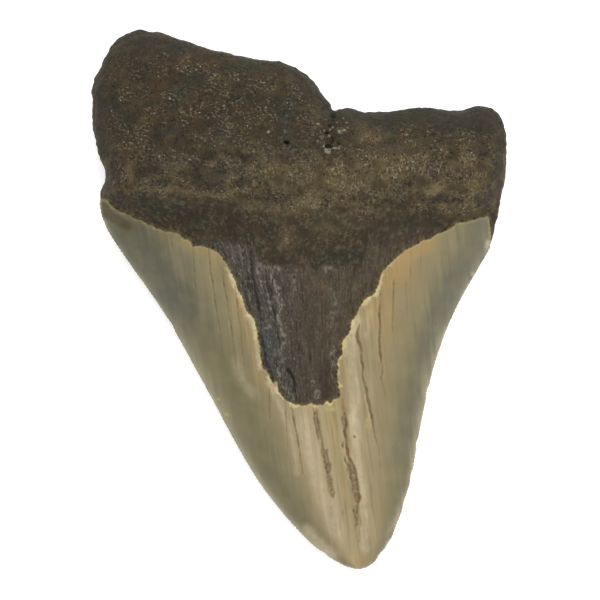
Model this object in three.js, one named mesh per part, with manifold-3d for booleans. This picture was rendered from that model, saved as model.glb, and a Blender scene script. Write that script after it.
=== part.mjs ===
// A fossil megalodon tooth, whole and in one piece. It lies on its outer (labial) face with the
// inner (lingual) face up, the root towards +Y and the tip towards -Y. The origin is on the
// surface under the tooth, below the middle of its outline. Millimetres, +Z up.
import * as THREE from 'three';
import { ImprovedNoise } from 'three/addons/math/ImprovedNoise.js';
import { mergeVertices } from 'three/addons/utils/BufferGeometryUtils.js';
import Module from 'manifold-3d';

const wasm = await Module();
wasm.setup();

const { clamp, lerp, smoothstep } = THREE.MathUtils;

// The outline seen from above, counterclockwise from the tip
const TIP = [12.9, -57.6];
const RIGHT_CUTTING_EDGE = [
  [15.5, -56.6], [17.3, -54.6], [20.2, -50], [22.1, -44.9], [24.2, -36.9], [25.6, -28.9],
  [28.5, -15.5], [31, -7.7], [34.3, -0.2], [39.6, 9.2], [40.9, 11.6],
];
const RIGHT_ROOT_SIDE = [[41.6, 14.2], [42.7, 19.5], [43.9, 24.9], [44.3, 30.3], [44, 35.8]];
const ROOT_TOP = [
  [43.4, 38.4], [41.6, 40.5], [39.1, 41.4], [33.6, 40.7], [25.4, 41.3], [20, 40.5], [14.5, 40.3],
  [9.9, 41.1], [7.1, 40.9], [6.7, 41.9], [5.3, 43.9], [1.7, 48], [-3, 50.6], [-8.4, 51.6],
  [-19.2, 53.8], [-24.4, 55.4], [-29.6, 57.2], [-32.2, 57.6], [-35, 57.5], [-37.6, 56.5],
];
const LEFT_ROOT_SIDE = [
  [-39.7, 54.8], [-41.8, 51.1], [-44.3, 45.2], [-44.1, 42.4], [-44.2, 39.7], [-43.9, 35.9],
  [-43, 31.6], [-41.4, 26.4], [-42.2, 23.8],
];
const LEFT_CUTTING_EDGE = [
  [-42.6, 21], [-42.2, 18.3], [-41.3, 15.8], [-38.5, 11.1], [-29.1, -2.5], [-21.1, -16.7],
  [-13.3, -31.1], [-9.1, -38.2], [-4.2, -44.8], [1.3, -50.9], [5.5, -54.4], [10.3, -57.1],
];

// The enamel's upper border on the inner face: from the left corner of the crown, round the bare
// tongue of dentine in the middle, and up to the right corner
const ENAMEL_BORDER = [
  [-42.4, 21.4], [-41, 21.2], [-39.2, 19.4], [-34.2, 17], [-28.5, 14.6], [-25.6, 14],
  [-22.8, 12.4], [-22.7, 11.8], [-18.7, 11.4], [-16.9, 10.2], [-14.5, 6.1], [-12.8, 1.8],
  [-11.4, -2], [-9.2, -5.5], [-7.9, -14], [-6.6, -15.7], [-5.6, -17.8], [-4.9, -17.4],
  [-4.5, -19.2], [-3.3, -21.1], [-1.8, -22.2], [1.3, -22.6], [5.2, -22.4], [7.3, -21.3],
  [8.8, -20.1], [8.2, -15], [9.2, -11], [9.2, -8.7], [11.4, -4.4], [15.1, 1.2], [17.5, 3.8],
  [19.7, 8], [23, 10.8], [29.7, 14.1], [37.6, 17.2], [40.1, 17.8], [40.5, 15.4], [41.2, 12],
];
const ENAMEL_THICKNESS = 0.55;
const BEYOND_CROWN = 60;

// Long drying cracks that run down the enamel from its border, each with its own width
const CRACK_DEPTH = 0.5;
const CRACKS = [
  { width: 0.45, route: [[-22.5, 11.5], [-22.2, 5.4], [-21.8, 1.4], [-21.1, -3.3]] },
  { width: 0.45, route: [[-19.2, 11], [-18.2, 2.7], [-17.2, -4.2], [-16.5, -12.4]] },
  { width: 0.4, route: [[-16.4, 5.2], [-15.1, -1.3], [-13.8, -10.8], [-12.5, -19.2]] },
  { width: 0.4, route: [[-1.7, -22.2], [-0.3, -28.7], [0.7, -34.6], [1.6, -38.5]] },
  { width: 0.45, route: [[3.7, -22], [4.7, -30.1], [6.1, -36.5], [7.1, -41.6]] },
  {
    width: 0.8,
    route: [[9.2, -21.3], [9.6, -31.6], [11, -36.5], [12.3, -43], [12, -46], [13, -50.3]],
  },
  { width: 0.5, route: [[13.5, -10], [13.6, -17.1], [15.7, -26.7], [17.4, -35.8]] },
  { width: 0.55, route: [[17.3, 3], [17.1, -10.6], [17.9, -15.8], [18.4, -20.6]] },
  { width: 0.4, route: [[20.1, 7], [20, -2.7], [20.3, -9.3]] },
];

// Heights above the surface that the tooth lies on
const CROWN_RIM = 4.2;
const ROOT_RIM = 10;
const TIP_LIFT = 1.6;
const WORN_FLAT = 0.3;
const ROOT_SHEET = 18.6;

// The crown swells with its width: 12.6 mm of rise where it is 60 mm across
const CROWN_RISE = 12.6;
const CROWN_RISE_WIDTH = 60;
const WIDEST_CROWN = 64;
const CROWN_RISE_POWER = 0.8;
const CROWN_FACE_POWER = 0.8;
const UNDER_FACE_POWER = 0.7;

// Rounded sides of the root, above and below its rim
const ROOT_ROUND_ABOVE = 9;
const ROOT_ROUND_BELOW = 10;

// Swellings of the root's inner face, and the hollow between the two lobes underneath
const NUTRIENT_BULGE = { x: -1, y: 29, across: 21, along: 10, height: 5.6 };
const LEFT_LOBE_DOME = { x: -27, y: 42, across: 12, along: 9, height: 1.2 };
const FORAMEN_MOUND = { x: -2.8, y: 33.8, across: 2.6, along: 2.2, height: 0.5 };
const LOBE_HOLLOW = { x: 2, y: 34, across: 11, along: 12, height: 1.6 };

// The root's lower lip stands over the neck, which slopes away below it: far down in the middle,
// to the top of the tongue, and a short way at the sides
const LIP = { y: 23.8, depth: 0.6, width: 1.7 };
const NECK_BOTTOM = { middle: 6, side: 15.5, reach: 34 };

// Low lumps of the bone, coarse ones with finer ones on them
const LUMPS = [
  { size: 9, height: 1 },
  { size: 4.6, height: 0.6 },
];

// A crease runs down from the notch in the root's top, with pits in and beside it
const CREASE = { route: [[7.1, 42], [6.5, 36.6], [5.8, 33.2], [5.9, 30.2]], depth: 1.1, width: 1.2 };
const PITS = [
  { x: -2.8, y: 33.7, diameter: 1.3, depth: 2.2 },
  { x: 6.5, y: 36.6, diameter: 1, depth: 1 },
  { x: 5.9, y: 33.4, diameter: 1.2, depth: 1.1 },
  { x: 7.6, y: 33, diameter: 0.9, depth: 0.8 },
  { x: 5.9, y: 30.6, diameter: 1, depth: 0.9 },
];
const PIT_SIDES = 8;

// Across the outer face a shallow furrow in a wide V marks where the root joins the crown
const UNDER_FURROW = { middleY: 11.5, risePerSide: 0.16, width: 1.9, depth: 0.8 };

// Spacing of the surface's points
const RIM_STEP = 2;
const ABOVE = { spacing: 2.4, bands: [0.4, 1.3, 2.7, 4.5] };
const BELOW = { spacing: 3.8, bands: [0.6, 2, 4.2] };

const vector = ([x, y]) => new THREE.Vector2(x, y);
const sum = (values) => values.reduce((total, value) => total + value, 0);

// Points along a stretch of the closed outline, keeping each hand-placed point
const outlinePoints = [
  TIP, ...RIGHT_CUTTING_EDGE, ...RIGHT_ROOT_SIDE, ...ROOT_TOP, ...LEFT_ROOT_SIDE,
  ...LEFT_CUTTING_EDGE,
].map(vector);
const outlineCurve = new THREE.CatmullRomCurve3(
  outlinePoints.map(({ x, y }) => new THREE.Vector3(x, y, 0)), true, 'centripetal',
);

function traceOutline(first, last) {
  const points = [];
  for (let index = first; index < last; index += 1) {
    const next = outlinePoints[(index + 1) % outlinePoints.length];
    const pieces = Math.max(1, Math.round(outlinePoints[index].distanceTo(next) / RIM_STEP));
    for (let piece = 0; piece < pieces; piece += 1) {
      const { x, y } = outlineCurve.getPoint((index + piece / pieces) / outlinePoints.length);
      points.push(new THREE.Vector2(x, y));
    }
  }
  return points;
}

const rootTopStart = 1 + RIGHT_CUTTING_EDGE.length + RIGHT_ROOT_SIDE.length;
const rootTopEnd = rootTopStart + ROOT_TOP.length;
const rightSide = traceOutline(0, rootTopStart);
const leftSide = traceOutline(rootTopEnd, outlinePoints.length);
const rim = [...rightSide, ...traceOutline(rootTopStart, rootTopEnd), ...leftSide];
leftSide.push(rim[0]);

function distanceToSegment(point, start, end) {
  const along = end.clone().sub(start);
  const share = clamp(point.clone().sub(start).dot(along) / along.lengthSq(), 0, 1);
  return point.distanceTo(along.multiplyScalar(share).add(start));
}

function distanceToPath(point, path) {
  let nearest = Infinity;
  for (let index = 1; index < path.length; index += 1) {
    nearest = Math.min(nearest, distanceToSegment(point, path[index - 1], path[index]));
  }
  return nearest;
}

const closedRim = [...rim, rim[0]];
const distanceToRim = (point) => distanceToPath(point, closedRim);

function isInside(point, polygon) {
  let inside = false;
  polygon.forEach((corner, index) => {
    const previous = polygon[(index + polygon.length - 1) % polygon.length];
    const crosses = (corner.y > point.y) !== (previous.y > point.y);
    const share = (point.y - corner.y) / (previous.y - corner.y);
    if (crosses && point.x < corner.x + share * (previous.x - corner.x)) inside = !inside;
  });
  return inside;
}

// Shapes that the heights are built from
function hump({ x, y, across, along, height }, point) {
  const reach = ((point.x - x) / across) ** 2 + ((point.y - y) / along) ** 2;
  return height * Math.exp(-reach);
}

function groove({ depth, width }, distance) {
  return depth * Math.exp(-((distance / width) ** 2));
}

// A quarter round that climbs from 0 at the rim to 1 at the given radius
function quarterRound(distance, radius) {
  const left = 1 - Math.min(distance / radius, 1);
  return Math.sqrt(1 - left * left);
}

const noise = new ImprovedNoise();

function lumps({ x, y }) {
  return sum(LUMPS.map(({ size, height }) => height * noise.noise(x / size, y / size, size)));
}

// 0 at both cutting edges and 1 midway between them
function midFace(point) {
  const fromLeft = distanceToPath(point, leftSide);
  const fromRight = distanceToPath(point, rightSide);
  const width = fromLeft + fromRight;
  return { width, middle: (4 * fromLeft * fromRight) / (width * width) };
}

function rimHeight({ y }) {
  return lerp(CROWN_RIM, ROOT_RIM, smoothstep(y, -12, 36));
}

function crownTop(point, edgeHeight) {
  const { width, middle } = midFace(point);
  const widthShare = Math.min(width, WIDEST_CROWN) / CROWN_RISE_WIDTH;
  const crest = CROWN_RIM + CROWN_RISE * widthShare ** CROWN_RISE_POWER;
  return lerp(edgeHeight, crest, middle ** CROWN_FACE_POWER);
}

// 0 on the crown and 1 on the root, climbing over the neck
function aboveNeck({ x, y }) {
  const towardsSide = smoothstep(Math.abs(x), 0, NECK_BOTTOM.reach);
  const bottom = lerp(NECK_BOTTOM.middle, NECK_BOTTOM.side, towardsSide);
  return smoothstep(y, bottom, LIP.y + LIP.width);
}

function rootTop(point, fromRim, edgeHeight) {
  const face = ROOT_SHEET + hump(NUTRIENT_BULGE, point) + hump(LEFT_LOBE_DOME, point)
    + hump(FORAMEN_MOUND, point) + groove(LIP, point.y - LIP.y);
  return lerp(edgeHeight, face, quarterRound(fromRim, ROOT_ROUND_ABOVE));
}

const creaseRoute = CREASE.route.map(vector);

function topHeight(point) {
  const fromRim = distanceToRim(point);
  const edgeHeight = rimHeight(point);
  const onBone = aboveNeck(point);
  const form = lerp(crownTop(point, edgeHeight), rootTop(point, fromRim, edgeHeight), onBone);
  return form + onBone * smoothstep(fromRim, 0, 4) * lumps(point)
    - groove(CREASE, distanceToPath(point, creaseRoute));
}

function underHeight(point) {
  const fromRim = distanceToRim(point);
  const edgeHeight = rimHeight(point);
  const { width, middle } = midFace(point);
  const tipLift = TIP_LIFT * (1 - smoothstep(width, 8, 44));
  const crown = lerp(edgeHeight, tipLift, middle ** UNDER_FACE_POWER);
  const root = edgeHeight * (1 - quarterRound(fromRim, ROOT_ROUND_BELOW))
    + hump(LOBE_HOLLOW, point);
  const furrowY = UNDER_FURROW.middleY + UNDER_FURROW.risePerSide * Math.abs(point.x);
  const furrow = groove(UNDER_FURROW, point.y - furrowY) * smoothstep(fromRim, 0, 6);
  const form = lerp(crown, root, smoothstep(point.y, furrowY - 5, furrowY + 7)) + furrow;
  return Math.max(0, form - WORN_FLAT * smoothstep(fromRim, 0, 6));
}

// Points inside the outline: bands that follow the rim, then rows of a triangular grid
function scatterPoints({ spacing, bands }) {
  const points = [...rim];
  let neighbours = [];
  const addIfClear = (point, fromRim, gap) => {
    const clear = isInside(point, rim) && distanceToRim(point) > fromRim
      && neighbours.every((other) => other.distanceTo(point) > gap);
    if (!clear) return;
    points.push(point);
    neighbours.push(point);
  };
  bands.forEach((depth) => {
    neighbours = [];
    rim.forEach((corner, index) => {
      const before = rim[(index + rim.length - 1) % rim.length];
      const after = rim[(index + 1) % rim.length];
      const inward = new THREE.Vector2(before.y - after.y, after.x - before.x).setLength(depth);
      addIfClear(corner.clone().add(inward), 0.95 * depth, 0.6 * RIM_STEP);
    });
  });
  const rowHeight = spacing * Math.sin(Math.PI / 3);
  const reach = new THREE.Box2().setFromPoints(rim);
  const innermost = bands.at(-1) + 0.6 * spacing;
  neighbours = [];
  for (let row = 0, y = reach.min.y; y < reach.max.y; row += 1, y += rowHeight) {
    for (let x = reach.min.x + (row % 2) * (spacing / 2); x < reach.max.x; x += spacing) {
      addIfClear(new THREE.Vector2(x, y), innermost, 0.7 * spacing);
    }
  }
  return points;
}

// A triangle with the circle through its corners, which no other point may enter
function triangleWithCircle(points, corners) {
  const [a, b, c] = corners.map((corner) => points[corner]);
  const ab = b.clone().sub(a);
  const ac = c.clone().sub(a);
  const twiceArea = 2 * ab.cross(ac);
  const centre = new THREE.Vector2(
    (ac.y * ab.lengthSq() - ab.y * ac.lengthSq()) / twiceArea,
    (ab.x * ac.lengthSq() - ac.x * ab.lengthSq()) / twiceArea,
  );
  return { corners, centre: centre.clone().add(a), radiusSquared: centre.lengthSq() };
}

// Joins the points into evenly shaped triangles and keeps those inside the outline
function triangulate(points) {
  const far = 1e5;
  const all = [...points, ...[[-far, -far], [far, -far], [0, far]].map(vector)];
  const outer = [points.length, points.length + 1, points.length + 2];
  let triangles = [triangleWithCircle(all, outer)];
  points.forEach((point, index) => {
    const kept = [];
    const border = new Map();
    triangles.forEach((triangle) => {
      if (triangle.centre.distanceToSquared(point) > triangle.radiusSquared) {
        kept.push(triangle);
        return;
      }
      triangle.corners.forEach((start, side) => {
        const end = triangle.corners[(side + 1) % 3];
        if (!border.delete(`${end} ${start}`)) border.set(`${start} ${end}`, [start, end]);
      });
    });
    border.forEach(([start, end]) => kept.push(triangleWithCircle(all, [start, end, index])));
    triangles = kept;
  });
  return triangles.map(({ corners }) => corners).filter((corners) => {
    const middle = new THREE.Vector2();
    corners.forEach((corner) => middle.addScaledVector(all[corner], 1 / 3));
    return Math.max(...corners) < points.length && isInside(middle, rim);
  });
}

// The closed surface: the inner face above and the outer face below, joined along the rim
function buildForm() {
  const above = scatterPoints(ABOVE);
  const below = scatterPoints(BELOW);
  const positions = [
    ...above.flatMap((point, index) => {
      const height = index < rim.length ? rimHeight(point) : topHeight(point);
      return [point.x, point.y, height];
    }),
    ...below.slice(rim.length).flatMap((point) => [point.x, point.y, underHeight(point)]),
  ];
  const onUnderside = (corner) => (corner < rim.length ? corner : corner + above.length - rim.length);
  const faces = [
    ...triangulate(above).flat(),
    ...triangulate(below).flatMap((corners) => corners.map(onUnderside).reverse()),
  ];
  const geometry = new THREE.BufferGeometry();
  geometry.setAttribute('position', new THREE.Float32BufferAttribute(positions, 3));
  geometry.setIndex(faces);
  return geometry;
}

// Between three.js geometry and solids that can be joined and cut
function toSolid(geometry) {
  const bare = geometry.clone();
  bare.deleteAttribute('normal');
  bare.deleteAttribute('uv');
  const merged = mergeVertices(bare);
  return new wasm.Manifold(new wasm.Mesh({
    numProp: 3,
    vertProperties: new Float32Array(merged.attributes.position.array),
    triVerts: new Uint32Array(merged.index.array),
  }));
}

function toGeometry(solid) {
  const { vertProperties, triVerts } = solid.getMesh();
  const geometry = new THREE.BufferGeometry();
  geometry.setAttribute('position', new THREE.BufferAttribute(vertProperties, 3));
  geometry.setIndex(new THREE.BufferAttribute(triVerts, 1));
  return geometry;
}

const moved = (solid, rise) => toSolid(toGeometry(solid).translate(0, 0, rise));

// An upright block with the given plan, from one height up to well above the tooth
function block(plan, floor) {
  const height = 2 * ROOT_SHEET;
  const geometry = new THREE.ExtrudeGeometry(
    new THREE.Shape(plan), { depth: height, bevelEnabled: false },
  );
  return toSolid(geometry.translate(0, 0, floor));
}

// Lays the enamel over the crown, so that its border stands as a ledge above the dentine
function withEnamel(body) {
  const plan = [
    ...ENAMEL_BORDER, [BEYOND_CROWN, ENAMEL_BORDER.at(-1)[1]], [BEYOND_CROWN, -BEYOND_CROWN],
    [-BEYOND_CROWN, -BEYOND_CROWN], [-BEYOND_CROWN, ENAMEL_BORDER[0][1]],
  ].map(vector);
  return body.add(moved(body, ENAMEL_THICKNESS).intersect(block(plan, -1)));
}

// A crack's plan: its route widened to both sides and pointed at its lower end
function crackPlan({ width, route }) {
  const path = route.map(vector);
  const shifted = (side) => path.slice(0, -1).map((point, index) => {
    const along = path[index + 1].clone().sub(path[Math.max(index - 1, 0)]);
    return new THREE.Vector2(-along.y, along.x).setLength((side * width) / 2).add(point);
  });
  return [...shifted(1), path.at(-1), ...shifted(-1).reverse()];
}

function withCrack(body, crack) {
  const plan = crackPlan(crack);
  const floor = Math.min(...plan.map(topHeight)) - 2 * CRACK_DEPTH;
  return body.subtract(block(plan, floor).subtract(moved(body, -CRACK_DEPTH)));
}

function withPit(body, { x, y, diameter, depth }) {
  const height = 2 * ROOT_SHEET;
  const drill = new THREE.CylinderGeometry(diameter / 2, diameter / 2, height, PIT_SIDES);
  const bottom = topHeight(new THREE.Vector2(x, y)) - depth;
  drill.rotateX(Math.PI / 2).translate(x, y, bottom + height / 2);
  return body.subtract(toSolid(drill));
}

let body = withEnamel(toSolid(buildForm()));
CRACKS.forEach((crack) => { body = withCrack(body, crack); });
PITS.forEach((pit) => { body = withPit(body, pit); });

const tooth = new THREE.Mesh(
  toGeometry(body),
  new THREE.MeshStandardMaterial({ color: 0x857a5f, roughness: 0.55, metalness: 0 }),
);
tooth.name = 'tooth';

const model = new THREE.Group();
model.add(tooth);

export default model;
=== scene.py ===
"""A fossil megalodon tooth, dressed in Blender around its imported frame.

The tooth lies on its outer face with the inner face up, the root towards +Y and the tip towards
-Y. Sizes and places in this script are millimetres, unless a name says otherwise, and they turn
to metres only where a mesh, a light or the camera is made.
"""

from __future__ import annotations

import logging
import math
from dataclasses import dataclass, field, fields
from enum import Enum

import bpy
import numpy as np
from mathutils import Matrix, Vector, noise
from mathutils.geometry import delaunay_2d_cdt
from mathutils.kdtree import KDTree


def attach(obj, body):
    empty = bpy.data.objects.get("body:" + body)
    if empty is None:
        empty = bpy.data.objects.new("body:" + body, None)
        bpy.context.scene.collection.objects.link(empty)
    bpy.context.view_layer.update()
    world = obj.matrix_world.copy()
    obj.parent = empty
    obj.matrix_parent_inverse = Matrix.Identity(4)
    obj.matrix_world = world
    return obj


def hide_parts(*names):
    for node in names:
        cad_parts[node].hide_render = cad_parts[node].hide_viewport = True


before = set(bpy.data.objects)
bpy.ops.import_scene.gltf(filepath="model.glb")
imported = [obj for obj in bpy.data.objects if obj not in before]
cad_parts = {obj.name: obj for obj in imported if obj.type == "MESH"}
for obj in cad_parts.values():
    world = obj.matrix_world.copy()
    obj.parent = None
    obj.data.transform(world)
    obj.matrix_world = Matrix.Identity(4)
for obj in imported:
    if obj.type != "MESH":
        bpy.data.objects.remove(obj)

log = logging.getLogger("fossil_tooth")

MILLIMETRE = 0.001  # in metres
PHOTO_PIXELS = 600  # side of the photograph's frame
MILLIMETRES_PER_PIXEL = 0.214

Array = np.ndarray
Pair = tuple[float, float]  # for a change: where it starts and where it is complete
Socket = bpy.types.NodeSocket


# Small helpers for heights


def smoothstep(value: Array, low: float, high: float) -> Array:
    """Climbs smoothly from 0 at low to 1 at high.

    Args:
        value: Numbers to look up.
        low: Where the climb starts.
        high: Where it ends. It may be below low, which turns the climb round.

    Returns:
        One share from 0 to 1 for each value.
    """
    share = np.clip((value - low) / (high - low), 0.0, 1.0)
    return share * share * (3.0 - 2.0 * share)


def lerp(start: Array | float, end: Array | float, share: Array) -> Array:
    """Mixes start and end by share."""
    return start + (end - start) * share


def bell(distance: Array, width: float) -> Array:
    """1 at no distance, falling away over about one width."""
    return np.exp(-((distance / width) ** 2))


def quarter_round(distance: Array, radius: float) -> Array:
    """A quarter round that climbs from 0 at the rim to 1 at the radius."""
    left = 1.0 - np.minimum(distance / radius, 1.0)
    return np.sqrt(1.0 - left * left)


def space_noise(places: Array) -> Array:
    """Smooth noise from about -1 to 1 for places in space, already divided by its size."""
    return np.fromiter((noise.noise(place) for place in places.tolist()), float, len(places))


def grain_noise(across: Array, along: Array, seed: float) -> Array:
    """Smooth noise from about -1 to 1, one value for each place.

    Args:
        across: First coordinate, already divided by the grain's size.
        along: Second coordinate, divided in the same way.
        seed: A different number gives different noise.

    Returns:
        The noise at each place.
    """
    return space_noise(np.column_stack([across, along, np.full(len(across), seed)]))


def strayed(places: Array, reach: float, size: float, seed: float) -> Array:
    """Moves places about a little, so that what is measured from them gets an uneven edge.

    Args:
        places: Places in plan, (n, 2).
        reach: About the farthest that one is moved.
        size: Across one wave of the movement.
        seed: A different number gives a different movement.

    Returns:
        The moved places.
    """
    x, y = places.T / size
    shift = np.column_stack([grain_noise(x, y, seed), grain_noise(x, y, seed + 5.3)])
    return places + reach * shift


def smooth_curve(corners: Array, step: float, closed: bool) -> Array:
    """Traces a centripetal curve through given points and keeps each of them.

    Args:
        corners: The given points, (n, 2).
        step: About how far apart the traced points are.
        closed: Whether the curve returns to its start.

    Returns:
        The traced points, (m, 2), without a repeat of the start if closed.
    """
    if closed:
        padded = np.vstack([corners[-1], corners, corners[:2]])
    else:
        before = 2 * corners[0] - corners[1]
        after = 2 * corners[-1] - corners[-2]
        padded = np.vstack([before, corners, after])
    spans = []
    for p0, p1, p2, p3 in zip(padded, padded[1:], padded[2:], padded[3:]):
        d0, d1, d2 = (math.sqrt(math.dist(a, b)) for a, b in ((p0, p1), (p1, p2), (p2, p3)))
        leave = ((p1 - p0) / d0 - (p2 - p0) / (d0 + d1) + (p2 - p1) / d1) * d1
        arrive = ((p2 - p1) / d1 - (p3 - p1) / (d1 + d2) + (p3 - p2) / d2) * d1
        pieces = max(1, round(math.dist(p1, p2) / step))
        t = np.arange(pieces)[:, None] / pieces
        bend = 3 * (p2 - p1) - 2 * leave - arrive
        twist = 2 * (p1 - p2) + leave + arrive
        spans.append(p1 + leave * t + bend * t**2 + twist * t**3)
    if not closed:
        spans.append(corners[-1:])
    return np.vstack(spans)


class Route:
    """A line in plan that distances are measured from."""

    def __init__(self, points: Array, closed: bool = False) -> None:
        """Args:
            points: The line's corners, (n, 2), set closely.
            closed: Whether the last corner joins the first.
        """
        self.points = np.vstack([points, points[:1]]) if closed else points
        steps = np.linalg.norm(np.diff(self.points, axis=0), axis=1)
        self.travel = np.concatenate([[0.0], np.cumsum(steps)])
        self.tree = KDTree(len(self.points))
        for index, (x, y) in enumerate(self.points.tolist()):
            self.tree.insert((x, y, 0.0), index)
        self.tree.balance()

    def measure(self, places: Array) -> tuple[Array, Array, Array]:
        """Finds how far each place is from the line.

        Args:
            places: Places in plan, (n, 2).

        Returns:
            The distance, the way travelled along the line to the nearest point of it, and the
            side: 1 to the left of the line's direction and -1 to the right.
        """
        found = (self.tree.find((x, y, 0.0))[1] for x, y in places.tolist())
        index = np.fromiter(found, int, len(places))
        distance = np.full(len(places), np.inf)
        travel = np.zeros(len(places))
        offside = np.zeros(len(places))
        for shift in (-1, 0):
            start = np.clip(index + shift, 0, len(self.points) - 2)
            a = self.points[start]
            span = self.points[start + 1] - a
            length = np.maximum(np.linalg.norm(span, axis=1), 1e-9)
            offset = places - a
            share = np.clip((offset * span).sum(axis=1) / length**2, 0.0, 1.0)
            reach = np.linalg.norm(offset - span * share[:, None], axis=1)
            left = (span[:, 0] * offset[:, 1] - span[:, 1] * offset[:, 0]) / length
            level = np.abs(reach - distance) < 1e-9
            closer = (reach < distance) & ~level
            distance = np.where(closer, reach, distance)
            travel = np.where(closer, self.travel[start] + share * length, travel)
            offside = np.where(closer, left, np.where(level, offside + left, offside))
        return distance, travel, np.where(offside < 0, -1.0, 1.0)

    def distance(self, places: Array) -> Array:
        """The distance of each place from the line."""
        return self.measure(places)[0]


def normals_of(points: Array, closed: bool) -> Array:
    """Finds the normals to the left of a line's direction.

    Args:
        points: The line's points, (n, 2).
        closed: Whether the last point joins the first.

    Returns:
        One unit normal for each point.
    """
    if closed:
        along = np.roll(points, -1, axis=0) - np.roll(points, 1, axis=0)
    else:
        along = np.gradient(points, axis=0)
    left = np.column_stack([-along[:, 1], along[:, 0]])
    return left / np.linalg.norm(left, axis=1, keepdims=True)


# The tooth seen from above


@dataclass(frozen=True)
class Serration:
    """The saw teeth of the cutting edges, worn low and here and there chipped off."""

    pitch: float = 0.86
    height: float = 0.17
    roundness: float = 0.7  # below 1, the teeth are blunt and the gaps between them sharp
    height_left: float = 0.65  # the share of the height that wear has left on the whole
    height_change: float = 0.5
    least_left: float = 0.1
    wear_length: float = 7.0
    chip_length: float = 3.4
    chip_level: float = 0.3  # the higher, the fewer chips
    chip_depth: float = 0.55
    fray_length: float = 1.3
    fray_depth: float = 0.05
    proud: float = 0.05

    def depth_at(self, travel: Array) -> Array:
        """How far the edge stands back from its smooth line.

        Args:
            travel: The way along the edge.

        Returns:
            The depth at each place. It is below 0 where a tooth stands out of the line.
        """
        nothing = np.zeros_like(travel)
        wear = grain_noise(travel / self.wear_length, nothing, 3.1)
        left = np.clip(self.height_left + self.height_change * wear, self.least_left, 1.0)
        gaps = 1.0 - np.abs(np.sin(math.pi * travel / self.pitch)) ** self.roundness
        chips = grain_noise(travel / self.chip_length, nothing, 8.6) - self.chip_level
        fray = self.fray_depth * grain_noise(travel / self.fray_length, nothing, 5.5) - self.proud
        return self.height * left * gaps + self.chip_depth * np.clip(chips, 0.0, None) + fray


@dataclass(frozen=True)
class BrokenEdge:
    """How the enamel has broken off along its border: in waves, small steps and a fine fray.

    The waves, the steps and the fray are shares of the raggedness.
    """

    raggedness: float = 0.3
    waves: float = 0.9
    wave_length: float = 1.9
    steps: float = 0.55
    step_length: float = 0.95
    step_drift: float = 0.6
    drift_length: float = 2.4
    fray: float = 0.5
    fray_length: float = 0.6
    end_length: float = 2.0

    def stray(self, travel: Array) -> Array:
        """How far the edge strays from its smooth line.

        Args:
            travel: The way along the border.

        Returns:
            The distance at each place, which fades to 0 at both ends.
        """
        nothing = np.zeros_like(travel)
        drift = self.step_drift * grain_noise(travel / self.drift_length, nothing, 6.6)
        steps = (travel / self.step_length + drift) % 1.0 - 0.5
        fray = self.fray * grain_noise(travel / self.fray_length, nothing, 7.3)
        stray = self.waves * grain_noise(travel / self.wave_length, nothing, 2.9)
        stray += self.steps * steps + fray
        start = smoothstep(travel, 0.0, self.end_length)
        end = smoothstep(travel, travel[-1], travel[-1] - self.end_length)
        return self.raggedness * (stray * (start * end))


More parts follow.
